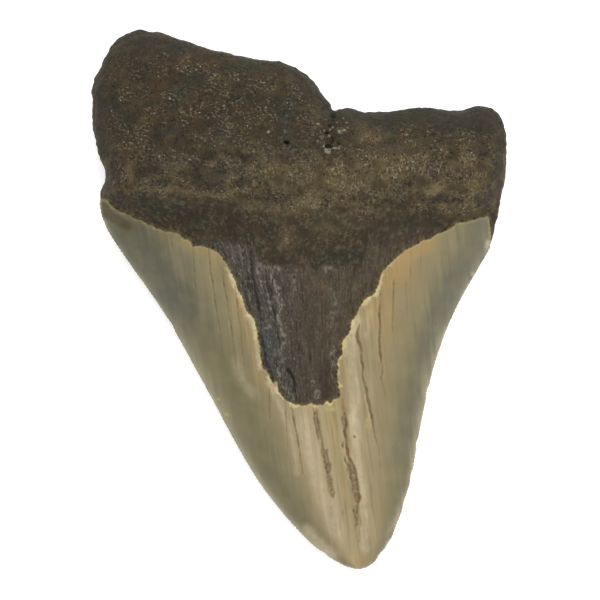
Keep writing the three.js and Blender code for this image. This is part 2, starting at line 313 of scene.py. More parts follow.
@dataclass
class ToothPlan:
    """The tooth's outline and the enamel's borders, counterclockwise from the tip."""

    tip: tuple = (12.9, -57.6)
    right_cutting_edge: tuple = (
        (15.5, -56.6), (17.3, -54.6), (20.2, -50), (22.1, -44.9), (24.2, -36.9), (25.6, -28.9),
        (28.5, -15.5), (31, -7.7), (34.3, -0.2), (39.6, 9.2), (40.9, 11.6),
    )
    right_root_side: tuple = ((41.6, 14.2), (42.7, 19.5), (43.9, 24.9), (44.3, 30.3), (44, 35.8))
    root_top: tuple = (
        (43.4, 38.4), (41.6, 40.5), (39.1, 41.4), (33.6, 40.7), (25.4, 41.3), (20, 40.5),
        (14.5, 40.3), (9.9, 41.1), (7.1, 40.9), (6.7, 41.9), (5.3, 43.9), (1.7, 48), (-3, 50.6),
        (-8.4, 51.6), (-19.2, 53.8), (-24.4, 55.4), (-29.6, 57.2), (-32.2, 57.6), (-35, 57.5),
        (-37.6, 56.5),
    )
    left_root_side: tuple = (
        (-39.7, 54.8), (-41.8, 51.1), (-44.3, 45.2), (-44.1, 42.4), (-44.2, 39.7), (-43.9, 35.9),
        (-43, 31.6), (-41.4, 26.4), (-42.2, 23.8),
    )
    left_cutting_edge: tuple = (
        (-42.6, 21), (-42.2, 18.3), (-41.3, 15.8), (-38.5, 11.1), (-29.1, -2.5), (-21.1, -16.7),
        (-13.3, -31.1), (-9.1, -38.2), (-4.2, -44.8), (1.3, -50.9), (5.5, -54.4), (10.3, -57.1),
    )
    inner_border: tuple = (
        (-42.4, 21.4), (-41, 21.2), (-39.2, 19.4), (-37, 18.3), (-34.2, 17), (-30.7, 15.5),
        (-28.5, 14.6), (-25.6, 14), (-25, 13.4), (-22.8, 12.2), (-22.7, 11.5), (-20.7, 11.5),
        (-18.7, 10.8), (-16.9, 9.7), (-15.6, 7.6), (-14.5, 6), (-12.8, 1.8), (-11.6, -0.9),
        (-11.4, -2), (-10.1, -3.3), (-9.2, -5.5), (-8.8, -8), (-8.3, -11.1), (-7.9, -14),
        (-6.6, -15.7), (-6, -17.1), (-5.6, -17.6), (-4.9, -17.2), (-4.5, -19), (-3.3, -20.8),
        (-1.8, -21.9), (0, -22.2), (1.3, -22.3), (2.4, -21.8), (3.4, -22.2), (5.2, -22.1),
        (5.7, -21.5), (6.7, -21.8), (7.3, -21), (8.6, -20.7), (8.8, -19.9), (8.4, -18.2),
        (8.2, -16), (8.2, -14), (8.4, -12.1), (9.1, -11.5), (9.2, -8.7), (10.4, -7.2),
        (11.3, -4.4), (12.5, -2.2), (13.6, -0.3), (14.5, 0.5), (16, 1.6), (16.5, 3), (17.3, 4.9),
        (17.9, 6.4), (19, 7.6), (20.3, 8.9), (22.6, 10.6), (26.4, 12.6), (29.5, 14), (32.2, 15.3),
        (33.8, 16.5), (35.8, 16.7), (39, 17.6), (40.1, 17.8), (40.5, 16.3), (40.7, 14.4),
        (40.9, 12.9), (41.2, 11.9),
    )
    outer_border: tuple = (
        (-42.4, 21.4), (-38, 18.6), (-30, 16.4), (-20, 14.6), (-8, 12.6), (1, 11.6), (9, 12.4),
        (20, 14.2), (30, 15.4), (36, 15.2), (41.2, 11.9),
    )
    serration: Serration = Serration()
    broken_edge: BrokenEdge = BrokenEdge()
    crown_step: float = 0.17  # between the rim's points on the crown
    root_step: float = 0.34  # and on the root
    guide_step: float = 1.0  # between the points of the smooth line that ways are measured on
    border_step: float = 0.22
    border_clearance: float = 0.3  # no other point of the border lies this near to its ends
    border_run_on: float = 6.0
    root_recess: float = 0.1
    root_waves: tuple = ((0.12, 2.6, 1.7), (0.1, 1.0, 6.2))  # each a depth, a length and a seed

    def __post_init__(self) -> None:
        """Traces the smooth outline, then wears and chips it."""
        corners = np.array([
            self.tip, *self.right_cutting_edge, *self.right_root_side, *self.root_top,
            *self.left_root_side, *self.left_cutting_edge,
        ])
        self.smooth = Route(smooth_curve(corners, self.guide_step, closed=True), closed=True)
        fine = smooth_curve(corners, self.crown_step, closed=True)
        travel = self.smooth.measure(fine)[1]
        right_root_start = self.travel_to(self.right_cutting_edge[-1])
        left_edge_start = self.travel_to(self.left_cutting_edge[0])
        on_root = (travel > right_root_start) & (travel < left_edge_start)
        skip = round(self.root_step / self.crown_step)
        kept = ~on_root | (np.arange(len(fine)) % skip == 0)
        base = fine[kept]
        self.on_crown = ~on_root[kept]
        self.inward = normals_of(base, closed=True)
        self.rim = base + self.inward * self.recess_along(travel[kept])[:, None]
        self.edge = Route(self.rim, closed=True)
        self.right_side = Route(self.stretch(self.tip, self.root_top[0]))
        self.left_side = Route(self.stretch(self.left_root_side[0], self.tip))

    def travel_to(self, corner: tuple) -> float:
        """The way along the smooth outline from the tip to one of its corners."""
        return float(self.smooth.measure(np.array([corner]))[1][0])

    def recess_along(self, travel: Array) -> Array:
        """How far the real edge stands back from the smooth outline.

        Args:
            travel: The way along the outline of each of the rim's points.

        Returns:
            The distance at each of them.
        """
        nothing = np.zeros_like(travel)
        bone = sum(
            depth * grain_noise(travel / length, nothing, seed)
            for depth, length, seed in self.root_waves
        )
        return np.where(self.on_crown, self.serration.depth_at(travel), self.root_recess + bone)

    def stretch(self, first: tuple, last: tuple) -> Array:
        """Picks a stretch of the rim, counterclockwise.

        Args:
            first: The outline's corner that it starts near.
            last: The corner that it ends near.

        Returns:
            The rim's points between them, (n, 2).
        """
        start, end = (self.nearest_rim_point(corner) for corner in (first, last))
        if end <= start:
            end += len(self.rim)
        return self.rim[np.arange(start, end + 1) % len(self.rim)]

    def nearest_rim_point(self, corner: tuple) -> int:
        """The number of the rim's point nearest to a place."""
        return int(np.linalg.norm(self.rim - np.array(corner), axis=1).argmin())

    def border(self, corners: tuple) -> tuple[Array, int, int]:
        """Traces a broken enamel border between two points of the rim.

        Args:
            corners: The border's given points, from the left side to the right.

        Returns:
            The border's points, and the numbers of the rim's points that it starts and ends at.
        """
        first, last = (self.nearest_rim_point(corners[end]) for end in (0, -1))
        line = smooth_curve(np.array(corners, float), self.border_step, closed=False)
        stray = self.broken_edge.stray(np.arange(len(line)) * self.border_step)
        line = line + normals_of(line, closed=False) * stray[:, None]
        line[0] = self.rim[first]
        line[-1] = self.rim[last]
        from_ends = [np.linalg.norm(line - end, axis=1) for end in (line[0], line[-1])]
        clear = np.minimum(*from_ends) > self.border_clearance
        clear[[0, -1]] = True
        return line[clear], first, last

    def border_route(self, corners: tuple) -> Route:
        """Makes the enamel border a line to measure from, run on a little beyond the outline.

        Args:
            corners: The border's given points, from the left side to the right.

        Returns:
            The line, with the bone on its left.
        """
        line, first, last = self.border(corners)
        before = line[0] - self.border_run_on * self.inward[first]
        after = line[-1] - self.border_run_on * self.inward[last]
        return Route(np.vstack([before, line, after]))


@dataclass(frozen=True)
class Crack:
    """A shrinkage crack that runs down the enamel; where two run together, silt lies between."""

    route: tuple
    width: float = 0.2
    depth: float = 0.22
    darkness: float = 0.7
    step: float = 0.28
    bends: tuple = ((0.09, 1.9, 4.2), (0.054, 0.8, 1.2))  # each a reach, a length and a seed
    opening: Pair = (-0.06, 0.06)  # it opens between these shares of its way
    closing: Pair = (1.02, 0.5)
    least_open: float = 0.3
    width_change: float = 0.4
    width_length: float = 2.3
    tone_left: float = 0.8
    tone_change: float = 1.5
    tone_length: float = 1.9
    least_tone: float = 0.1

    def trace(self) -> Array:
        """Traces the crack's centre line, set closely and a little crooked.

        Returns:
            The points of the line, (n, 2).
        """
        line = smooth_curve(np.array(self.route, float), self.step, closed=False)
        travel = np.arange(len(line)) * self.step
        row = np.full(len(line), self.route[0][0])  # each crack has its own row of the noise
        wander = sum(
            reach * grain_noise(travel / length, row, seed) for reach, length, seed in self.bends
        )
        return line + normals_of(line, closed=False) * wander[:, None]

    def openness(self, share: Array) -> Array:
        """How open the crack is at each share of its way: it closes slowly to its lower end."""
        open_share = smoothstep(share, *self.opening) * smoothstep(share, *self.closing)
        return self.least_open + (1.0 - self.least_open) * open_share

    def half_width(self, travel: Array, length: float) -> Array:
        """Half the crack's width at each place along it.

        Args:
            travel: The way along the crack.
            length: Its whole length.

        Returns:
            The half width, narrow at the lower end and uneven above it.
        """
        row = np.full(len(travel), self.width)
        uneven = 1.0 + self.width_change * grain_noise(travel / self.width_length, row, 9.4)
        return 0.5 * self.width * uneven * self.openness(travel / length)

    def darkness_at(self, travel: Array, length: float) -> Array:
        """How dark the crack is at each place along it: here and there it fades out.

        Args:
            travel: The way along the crack.
            length: Its whole length.

        Returns:
            The darkness, 0 to 1.
        """
        row = np.full(len(travel), self.route[0][1])
        change = self.tone_change - self.darkness
        tone = self.tone_left + change * grain_noise(travel / self.tone_length, row, 7.7)
        tone = np.clip(tone, self.least_tone, 1.0)
        return self.darkness * tone * self.openness(travel / length)


INNER_CRACKS = (
    Crack(((-27.3, 13.7), (-27.1, 12), (-26.9, 10.2)), depth=0.12, darkness=0.6),
    Crack(((-22.7, 11.8), (-22.4, 8.9), (-22.2, 5.4), (-21.8, 1.4), (-21.1, -3.3)),
          depth=0.12, darkness=0.55),
    Crack(
        ((-19.2, 11), (-18.8, 6.1), (-18.2, 2.7), (-17.8, -0.9), (-17.2, -4.2), (-16.6, -8),
         (-16.5, -12.4)), depth=0.12, darkness=0.6,
    ),
    Crack(
        ((-16.4, 7), (-15.8, 2.7), (-15.1, -1.3), (-14.3, -6.5), (-13.8, -10.8), (-13.2, -15.3),
         (-12.5, -19.2)), depth=0.12, darkness=0.62,
    ),
    Crack(
        ((-13.6, 3.2), (-13, -2.6), (-12.4, -5.9), (-12.3, -8.7), (-11.8, -13.1), (-11.2, -17.5)),
        depth=0.12, darkness=0.6,
    ),
    Crack(((-6.4, -18.4), (-6.3, -24.5), (-5.7, -27.7)), darkness=0.35),
    Crack(((-3, -21.4), (-2.8, -25.2), (-2.6, -30.1), (-2.5, -33.3)), darkness=0.4),
    Crack(
        ((-1.7, -22.4), (-1.1, -25.8), (-0.5, -28.7), (-0.1, -31.2), (0.3, -34), (0.8, -36.8),
         (1.6, -38.5)), 0.28, darkness=0.7,
    ),
    Crack(((3, -22.8), (3.3, -25.6), (3.5, -27.3), (3.9, -29.3), (4.4, -31), (4.8, -32.6)),
          0.26, darkness=0.55),
    Crack(
        ((3.6, -22.6), (3.7, -24), (3.9, -25.6), (4.1, -26.8), (4.7, -29), (4.9, -30.7),
         (5.2, -32.3), (5.5, -34.5), (5.9, -36.3), (6.3, -37.8), (6.8, -39.6), (7.3, -42)),
        0.36, darkness=0.8,
    ),
    Crack(((6, -31.6), (5.9, -32.8), (6.1, -34), (6.5, -35), (6.6, -36), (6.2, -37.2)), 0.42,
          darkness=0.8),
    Crack(((9.3, -20.9), (9.3, -22.4), (9.5, -24.2)), 0.3, darkness=0.4),
    Crack(((9.1, -24.6), (9.2, -25.9), (9.5, -27.1)), 0.4, darkness=0.8),
    Crack(((9.25, -30.1), (9.2, -31), (9.3, -31.7)), 0.36, darkness=0.8),
    Crack(
        ((9.6, -33.3), (10, -34.5), (10.6, -35.2), (10.9, -36.4), (11, -37.7), (11.3, -39),
         (11.4, -40.2), (11.8, -41.2), (12.1, -42.2)), 0.36, darkness=0.9,
    ),
    Crack(
        ((9.5, -23.9), (9.9, -25), (10, -26.4), (9.6, -27.5),
         (9.7, -28.3), (10, -29.5), (10.1, -31.3), (10.3, -32.6), (10.8, -34), (11.4, -34.9),
         (11.8, -36.1), (12.1, -37.5), (12.4, -39.2), (12.6, -41), (12.6, -42.4), (12.4, -43.8),
         (12.4, -45.6), (12.9, -46.6), (13.2, -47.6), (12.8, -48.8), (12.7, -50), (12.8, -51.6)),
        0.42, depth=0.35, darkness=0.95,
    ),
    Crack(((11.6, -44.5), (11.65, -45.6)), 0.36, darkness=0.8),
    Crack(((11.9, -46.1), (12.2, -47.4), (11.9, -48.2), (12.3, -48.9)), 0.24, darkness=0.7),
    Crack(
        ((12.7, -5), (12.5, -6.2), (12.3, -7.8), (12.7, -8.9), (13.1, -10), (13.2, -12.8),
         (13.5, -13.8), (13.4, -16), (13.8, -17.5), (14.3, -19.2), (14.5, -21), (14.9, -22.3),
         (15.3, -24), (15.6, -25.6), (15.8, -27.5), (16.1, -28.8), (16.9, -31.7), (17.4, -35.8)),
        0.4, darkness=0.95,
    ),
    Crack(
        ((17.1, 1.4), (17.1, -0.6), (17, -2.9), (17.1, -5.4), (17, -8.3), (17.1, -10.4),
         (17.3, -12.1), (17.6, -13.8), (17.7, -15.4), (17.4, -16.6), (17.7, -17.9), (18.1, -19.2),
         (18.5, -21)), 0.3, darkness=0.75,
    ),
    Crack(((20.1, 4.4), (19.9, -2.3), (19.8, -6), (20, -9.3)), 0.26, darkness=0.55),
    Crack(((22.6, 4.4), (22.8, 0), (22.9, -5)), 0.16, depth=0.1, darkness=0.3),
    Crack(((23.7, 10.4), (23.6, 6), (23.3, 1.5)), 0.16, depth=0.1, darkness=0.35),
    Crack(((25.9, 12), (25.8, 8), (25.6, 4.6)), 0.16, depth=0.1, darkness=0.3),
)
OUTER_CRACKS = (
    Crack(((-24, 15.2), (-23, 6), (-21.6, -3)), darkness=0.5),
    Crack(((-12, 13.2), (-11, 0), (-9, -14))),
    Crack(((1.4, 11.6), (2.4, -4), (4.6, -22)), 0.35, darkness=0.8),
    Crack(((12, 12.8), (12.6, 2), (13.6, -9))),
    Crack(((25, 14.8), (24.6, 6), (24, -3)), darkness=0.5),
)


# The tooth's relief


@dataclass(frozen=True)
class Oval:
    """A soft oval: a rise, a pit or a spot of colour."""

    x: float
    y: float
    across: float
    along: float
    height: float

    def rise(self, places: Array) -> Array:
        """How much it lifts each place, or how strongly it colours it."""
        reach = ((places[:, 0] - self.x) / self.across) ** 2
        reach += ((places[:, 1] - self.y) / self.along) ** 2
        return self.height * np.exp(-reach)


@dataclass(frozen=True)
class Strand:
    """A soft line along a given route, such as a groove or a streak of colour."""

    route: tuple
    width: float
    height: float = 1.0
    step: float = 0.5
    reach: float = 3.0  # in widths: farther away it isn't felt
    fade: Pair = (-0.5, 2.0)  # in widths from its ends

    def rise(self, places: Array) -> Array:
        """How much it lifts each place, or how strongly it colours it: it fades at its ends.

        Args:
            places: Places in plan, (n, 2).

        Returns:
            The height or the strength at each place.
        """
        line = Route(smooth_curve(np.array(self.route, float), self.step, closed=False))
        low = line.points.min(axis=0) - self.reach * self.width
        high = line.points.max(axis=0) + self.reach * self.width
        near = np.flatnonzero(((places > low) & (places < high)).all(axis=1))
        distance, travel, _ = line.measure(places[near])
        from_end = np.minimum(travel, line.travel[-1] - travel)
        faded = smoothstep(from_end, *(share * self.width for share in self.fade))
        rise = np.zeros(len(places))
        rise[near] = self.height * bell(distance, self.width) * faded
        return rise


@dataclass(frozen=True)
class Grain:
    """Noise in a surface, of one height and size."""

    height: float
    across: float
    along: float
    seed: float

    def rise(self, places: Array) -> Array:
        """How much it lifts each place."""
        x, y = places.T
        return self.height * grain_noise(x / self.across, y / self.along, self.seed)


Marks = tuple[Oval | Strand, ...]


def strongest(marks: Marks, places: Array) -> Array:
    """The highest rise at each place of a group of marks that share one job."""
    return np.max([mark.rise(places) for mark in marks], axis=0)


@dataclass
class Measured:
    """What the relief and the finishes need to know about a set of places."""

    places: Array
    from_edge: Array
    from_left: Array
    from_right: Array
    into_enamel: Array
    from_crack: Array
    half_crack: Array
    crack_darkness: Array
    crack_depth: Array
    crack_highlight: Array

    @property
    def middle(self) -> Array:
        """0 at both cutting edges and 1 midway between them."""
        return 4.0 * self.from_left * self.from_right / self.width**2

    @property
    def width(self) -> Array:
        """How wide the tooth is there."""
        return self.from_left + self.from_right


@dataclass(frozen=True)
class Relief:
    """The heights of both faces, from the same sizes as the solid they are laid over."""

    crown_rim: float = 4.2
    root_rim: float = 10.0
    rim_climb: Pair = (-12.0, 36.0)  # in y
    tip_lift: float = 1.6
    tip_widths: Pair = (8.0, 44.0)  # the lift fades where the crown is this wide
    worn_flat: float = 0.3
    worn_flat_run_in: float = 6.0  # how far in from the rim it takes to reach its full depth
    root_sheet: float = 18.6
    crown_rise: float = 12.6
    crown_rise_width: float = 60.0
    widest_crown: float = 64.0
    crown_power: float = 0.8
    under_power: float = 0.7
    root_round_above: float = 9.0
    root_round_below: float = 10.0
    enamel: float = 0.55
    enamel_run_in: float = 1.2
    border_wall: float = 0.2
    lip_y: float = 23.8
    lip_width: float = 1.7
    lip_height: float = 0.6
    lip_left: float = 0.8  # the share of its height that is left on the whole
    lip_change: float = 0.6
    lip_change_length: float = 6.0
    lip_sway: float = 0.9
    lip_sway_length: float = 8.0
    neck_middle: float = 6.0
    neck_side: float = 15.5
    neck_reach: float = 34.0
    furrow_y: float = 11.5
    furrow_slope: float = 0.16
    furrow_bank: Pair = (-5.0, 7.0)  # the crown's side and the root's side
    furrow_depth: float = 0.8
    furrow_width: float = 1.9
    outer_ledge: float = 0.3
    outer_ledge_width: float = 4.0
    swellings: tuple[Oval, ...] = (
        Oval(-1, 29, 21, 10, 5.6), Oval(-27, 42, 12, 9, 1.2), Oval(-2.8, 33.8, 2.6, 2.2, 0.5),
    )
    lobe_hollow: Oval = Oval(2, 34, 11, 12, 1.6)
    foramen: Oval = Oval(-2.6, 33.2, 0.48, 0.36, 2.0)
    pits: tuple[Oval, ...] = (
        Oval(7.1, 38.9, 0.5, 0.7, 0.8), Oval(6.4, 36.9, 0.4, 0.4, 0.6),
        Oval(5.8, 35.4, 0.5, 0.34, 0.9), Oval(6.1, 32.6, 0.55, 0.4, 1.0),
        Oval(7, 33.7, 0.3, 0.7, 0.8), Oval(3.4, 34.7, 0.3, 0.26, 0.6),
        Oval(5.2, 30.5, 0.4, 0.3, 0.5), Oval(8.2, 33.1, 0.3, 0.3, 0.6),
    )
    crumbs: Marks = (
        Oval(8.6, 35.6, 0.52, 0.44, 0.5), Oval(9.5, 35.9, 0.34, 0.3, 0.36),
        Oval(7.1, 36.6, 0.34, 0.34, 0.4), Oval(6.4, 34.7, 0.34, 0.36, 0.36),
        Oval(6.5, 36, 0.36, 0.3, 0.34), Oval(5.3, 35.8, 0.3, 0.34, 0.34),
        Oval(4, 37.3, 0.42, 0.34, 0.36), Oval(6, 31.5, 0.68, 0.55, 0.6),
        Oval(7.3, 32, 0.36, 0.34, 0.34), Oval(5.1, 32.6, 0.3, 0.3, 0.34),
        Oval(9.4, 38.4, 0.34, 0.3, 0.3), Oval(10.1, 37.6, 0.5, 0.3, 0.3),
        Oval(3.9, 33.6, 0.3, 0.26, 0.3), Oval(4.9, 34.3, 0.26, 0.3, 0.26),
        Oval(8.9, 34.2, 0.3, 0.26, 0.3), Oval(7.9, 37.5, 0.3, 0.34, 0.26),
        Oval(-6.5, 35.5, 0.46, 0.4, 0.4), Oval(-5.9, 34.5, 0.3, 0.3, 0.3),
        Oval(-0.3, 35, 0.3, 0.26, 0.26), Oval(0.6, 34.2, 0.26, 0.26, 0.24),
        Oval(-12.4, 39.2, 0.42, 0.3, 0.3), Oval(-11.5, 38.6, 0.26, 0.3, 0.26),
        Oval(-15.6, 48.6, 0.4, 0.3, 0.28), Oval(-10.8, 14, 0.32, 0.26, 0.26),
        Strand(((-3.6, 32.7), (-3.1, 32.1), (-2.2, 32.1), (-1.7, 32.9)), 0.24, 0.2),
    )
    crease_route: tuple = ((7.1, 42), (6.5, 36.6), (5.8, 33.2), (5.9, 30.2))
    crease_depth: float = 1.1
    crease_width: float = 1.2
    crease_shade: float = 0.25
    groove_depth: float = 0.34
    grooves: Marks = (
        Strand(((-10.3, 11), (-10, 6.1), (-9.3, 2.1), (-8.5, -1.9), (-8.1, -4.8)), 0.34, 1.0),
        Strand(((-7.1, 5.8), (-6.3, 1), (-5.2, -3), (-4.5, -7), (-4.1, -10.5)), 0.26, 0.9),
        Strand(((-2.7, -14.3), (-1.6, -15.9), (-1, -17.6), (-1.2, -19.7)), 0.34, 1.5),
        Strand(((-8.3, -6.6), (-7.4, -11.6), (-6.6, -14.8), (-5.4, -17.4)), 0.5, 1.0),
        Strand(((-12.4, 4), (-11, -0.6), (-10, -3.6)), 0.26, 0.6),
        Strand(((1, -13.8), (1.5, -16.2), (2, -20.2)), 0.18, 0.6),
        Strand(((4.4, 0), (5.2, -1), (5.9, -2)), 0.24, 0.5),
        Strand(((5, -12.6), (6.2, -12.9), (7.2, -12.8)), 0.16, 0.5),
    )
    ledge_y: float = 7.4
    ledge_x: float = 2.6
    ledge_half_width: float = 9.6
    ledge_drop: float = 0.3
    ledge_softness: float = 0.6
    ledge_end_width: float = 3.5
    ledge_end_climb: float = 4.0
    ledge_end_softness: float = 2.0
    ledge_wave_length: float = 2.4
    ledge_fray: Grain = Grain(0.5, 0.9, 4.0, 2.5)
    lumps: tuple[Grain, ...] = (Grain(1.0, 9.0, 9.0, 9.4), Grain(0.5, 4.6, 4.6, 4.6))
    lump_run_in: float = 4.0
    knobs: Grain = Grain(0.16, 3.1, 2.3, 2.2)
    pores: Grain = Grain(1.0, 1.3, 1.0, 6.4)
    pore_level: float = 0.15
    pore_depth: float = 0.4
    bone_grit: Grain = Grain(0.14, 0.95, 0.8, 1.9)
    grain_run_in: float = 1.6
    hole_run_in: float = 1.0
    worn_neck: Pair = (13.0, 30.0)  # up the neck the grain grows from half height to whole
    side_waves: tuple = (  # each a height, a size and a slide
        (0.24, 4.4, 0.0), (0.2, 2.1, 7.0), (0.14, 1.0, 3.0),
    )
    fibre_lean: float = 0.1
    fibre_fan: float = 0.01
    fibre_y: float = -5.0
    fibres: tuple[Grain, ...] = (Grain(0.2, 1.5, 11.0, 3.3), Grain(0.2, 0.62, 4.0, 8.8))
    streak_lean: float = 0.13  # the enamel's streaks drift this far in x for each 1 in y
    streaks: Grain = Grain(0.035, 1.3, 16.0, 5.1)

    def rim_height(self, places: Array) -> Array:
        """Height of the edge where both faces meet."""
        return lerp(self.crown_rim, self.root_rim, smoothstep(places[:, 1], *self.rim_climb))

    def on_bone(self, places: Array) -> Array:
        """Finds the root's face, whose lower border runs over the neck.

        Args:
            places: Places in plan, (n, 2).

        Returns:
            0 on the crown and 1 on the root, climbing over the neck.
        """
        towards_side = smoothstep(np.abs(places[:, 0]), 0, self.neck_reach)
        bottom = lerp(self.neck_middle, self.neck_side, towards_side)
        return smoothstep(places[:, 1], bottom, self.lip_y + self.lip_width)

    def crown_top(self, spot: Measured, edge: Array) -> Array:
        """Height of the crown's inner face, before the enamel is laid on.

        Args:
            spot: The measured places.
            edge: The rim's height at each of them.

        Returns:
            The height of each place.
        """
        share = np.minimum(spot.width, self.widest_crown) / self.crown_rise_width
        crest = self.crown_rim + self.crown_rise * share**self.crown_power
        return lerp(edge, crest, spot.middle**self.crown_power)

    def root_top(self, spot: Measured, edge: Array) -> Array:
        """Height of the root's inner face.

        Args:
            spot: The measured places.
            edge: The rim's height at each of them.

        Returns:
            The height of each place.
        """
        face = self.root_sheet + sum(swelling.rise(spot.places) for swelling in self.swellings)
        x, y = spot.places.T
        nothing = np.zeros_like(x)
        sway = self.lip_sway * grain_noise(x / self.lip_sway_length, nothing, 3.7)
        change = self.lip_change * grain_noise(x / self.lip_change_length, nothing, 12.3)
        height = self.lip_height * (self.lip_left + change)
        face = face + height * bell(y - self.lip_y - sway, self.lip_width)
        return lerp(edge, face, quarter_round(spot.from_edge, self.root_round_above))

    def bone_grain(self, places: Array) -> Array:
        """The worn bone's knobs, pores and grit."""
        pores = self.pore_depth * np.minimum(self.pores.rise(places) + self.pore_level, 0.0)
        return self.knobs.rise(places) + pores + self.bone_grit.rise(places)

    def side_grain(self, vertices: Array) -> Array:
        """How far the root's steep sides stand out or fall back at points in space."""
        return sum(
            height * space_noise(vertices / size + slide) for height, size, slide in self.side_waves
        )

    def bare_dentine(self, places: Array, softness: float) -> Array:
        """Finds the tongue, past the ledge where the crown's dentine begins.

        Args:
            places: Places in plan, (n, 2).
            softness: Half the width over which the neck turns into it.

        Returns:
            0 on the neck and 1 on the tongue.
        """
        x, y = places.T
        aside = np.abs(x - self.ledge_x) - self.ledge_half_width
        beyond = smoothstep(aside, 0.0, self.ledge_end_width)
        wave = grain_noise(x / self.ledge_wave_length, np.zeros_like(x), 5.9)
        uneven = wave + self.ledge_fray.rise(places)
        edge = self.ledge_y + self.ledge_end_climb * beyond + uneven
        top = edge + softness * (1.0 + self.ledge_end_softness * beyond)
        return smoothstep(y, top, edge - softness)

    def strand(self, places: Array) -> Array:
        """The place across the tongue's fibres, which lean more on its left side."""
        x, y = places.T
        return x + (self.fibre_lean - self.fibre_fan * x) * (y - self.fibre_y)

    def streak(self, places: Array) -> Array:
        """The place across the enamel's streaks."""
        return places[:, 0] + self.streak_lean * places[:, 1]

    def tongue_grain(self, places: Array) -> Array:
        """The long fibres of the bare dentine."""
        laid = np.column_stack([self.strand(places), places[:, 1]])
        return sum(fibre.rise(laid) for fibre in self.fibres)

    def hollows_and_crumbs(self, places: Array) -> tuple[Array, Array]:
        """Finds the pits and the foramen, and the crumbs that lie in and beside them.

        Args:
            places: Places in plan, (n, 2).

        Returns:
            The depth of the hollows and the height of the crumbs at each place.
        """
        uneven = strayed(places, 0.3, 0.6, 4.4)
        return strongest(self.pits + (self.foramen,), uneven), strongest(self.crumbs, uneven)

    def inner_height(self, spot: Measured) -> tuple[Array, Array]:
        """Height of the inner face.

        Args:
            spot: The measured places.

        Returns:
            The height of each place, and the fine relief with a crease_shade term added, which the
            bone's colour turns into painted shade.
        """
        places, from_edge = spot.places, spot.from_edge
        edge = self.rim_height(places)
        bone = self.on_bone(places)
        form = lerp(self.crown_top(spot, edge), self.root_top(spot, edge), bone)
        shell = smoothstep(spot.into_enamel, -self.border_wall, 0.0)
        thickness = lerp(0.5, 1.0, smoothstep(from_edge, 0.0, self.enamel_run_in)) * self.enamel
        tongue = self.bare_dentine(places, self.ledge_softness) * (1.0 - shell)
        grain = lerp(self.bone_grain(places), self.tongue_grain(places), tongue)
        off_rim = smoothstep(from_edge, 0.0, self.grain_run_in)
        unworn = lerp(0.5, 1.0, np.maximum(smoothstep(places[:, 1], *self.worn_neck), tongue))
        fine = grain * (1.0 - shell) * off_rim * unworn
        fine = fine - self.groove_depth * tongue * strongest(self.grooves, places)
        laid = np.column_stack([self.streak(places), places[:, 1]])
        fine = fine + shell * self.streaks.rise(laid)
        hollows, crumbs = self.hollows_and_crumbs(places)
        crease = bell(Route(np.array(self.crease_route)).distance(places), self.crease_width)
        holes = crumbs - hollows - self.crease_depth * crease
        holes = holes * smoothstep(from_edge, 0.0, self.hole_run_in)
        lumps = sum(lump.rise(places) for lump in self.lumps)
        height = form + bone * smoothstep(from_edge, 0.0, self.lump_run_in) * lumps
        height = height + thickness * shell + fine + holes
        height = height - spot.crack_depth * shell - self.ledge_drop * tongue
        return height, fine + crumbs - hollows - self.crease_shade * crease

    def outer_height(self, spot: Measured) -> tuple[Array, Array]:
        """Height of the outer face, which lies on its worn flats.

        Args:
            spot: The measured places.

        Returns:
            The height of each place, and the part of it that is fine relief.
        """
        edge = self.rim_height(spot.places)
        x, y = spot.places.T
        tip_lift = self.tip_lift * (1.0 - smoothstep(spot.width, *self.tip_widths))
        crown = lerp(edge, tip_lift, spot.middle**self.under_power)
        root = edge * (1.0 - quarter_round(spot.from_edge, self.root_round_below))
        root = root + self.lobe_hollow.rise(spot.places)
        above_furrow = y - self.furrow_y - self.furrow_slope * np.abs(x)
        off_rim = smoothstep(spot.from_edge, 0.0, self.worn_flat_run_in)
        form = lerp(crown, root, smoothstep(above_furrow, *self.furrow_bank))
        form = form + self.furrow_depth * bell(above_furrow, self.furrow_width) * off_rim
        form = form - self.worn_flat * off_rim
        bare = 1.0 - smoothstep(spot.into_enamel, -self.border_wall, 0.0)
        beside = bell(np.minimum(spot.into_enamel, 0.0), self.outer_ledge_width)
        grain = self.bone_grain(spot.places) * bare
        grain = grain * smoothstep(spot.from_edge, 0.0, self.grain_run_in)
        fine = self.outer_ledge * bare * beside * off_rim - grain
        fine = fine + spot.crack_depth * (1.0 - bare)
        return np.maximum(form + fine, 0.0), grain


# The tooth's mesh


class Finish(Enum):
    """The finishes of the tooth's faces, in the order of the mesh's material slots."""

    BONE = 0
    ENAMEL = 1


@dataclass(frozen=True)
class Grid:
    """How closely the points of one face are set."""

    bone: float
    enamel: float
    tongue: float
    crown_rows: tuple[tuple[float, int], ...]  # each a way in from the rim, and every how many
    root_rows: tuple[tuple[float, int], ...]


@dataclass
class Sheet:
    """One face of the tooth, triangulated in plan."""

    plan: Array
    triangles: Array
    finishes: Array
    rim: Array


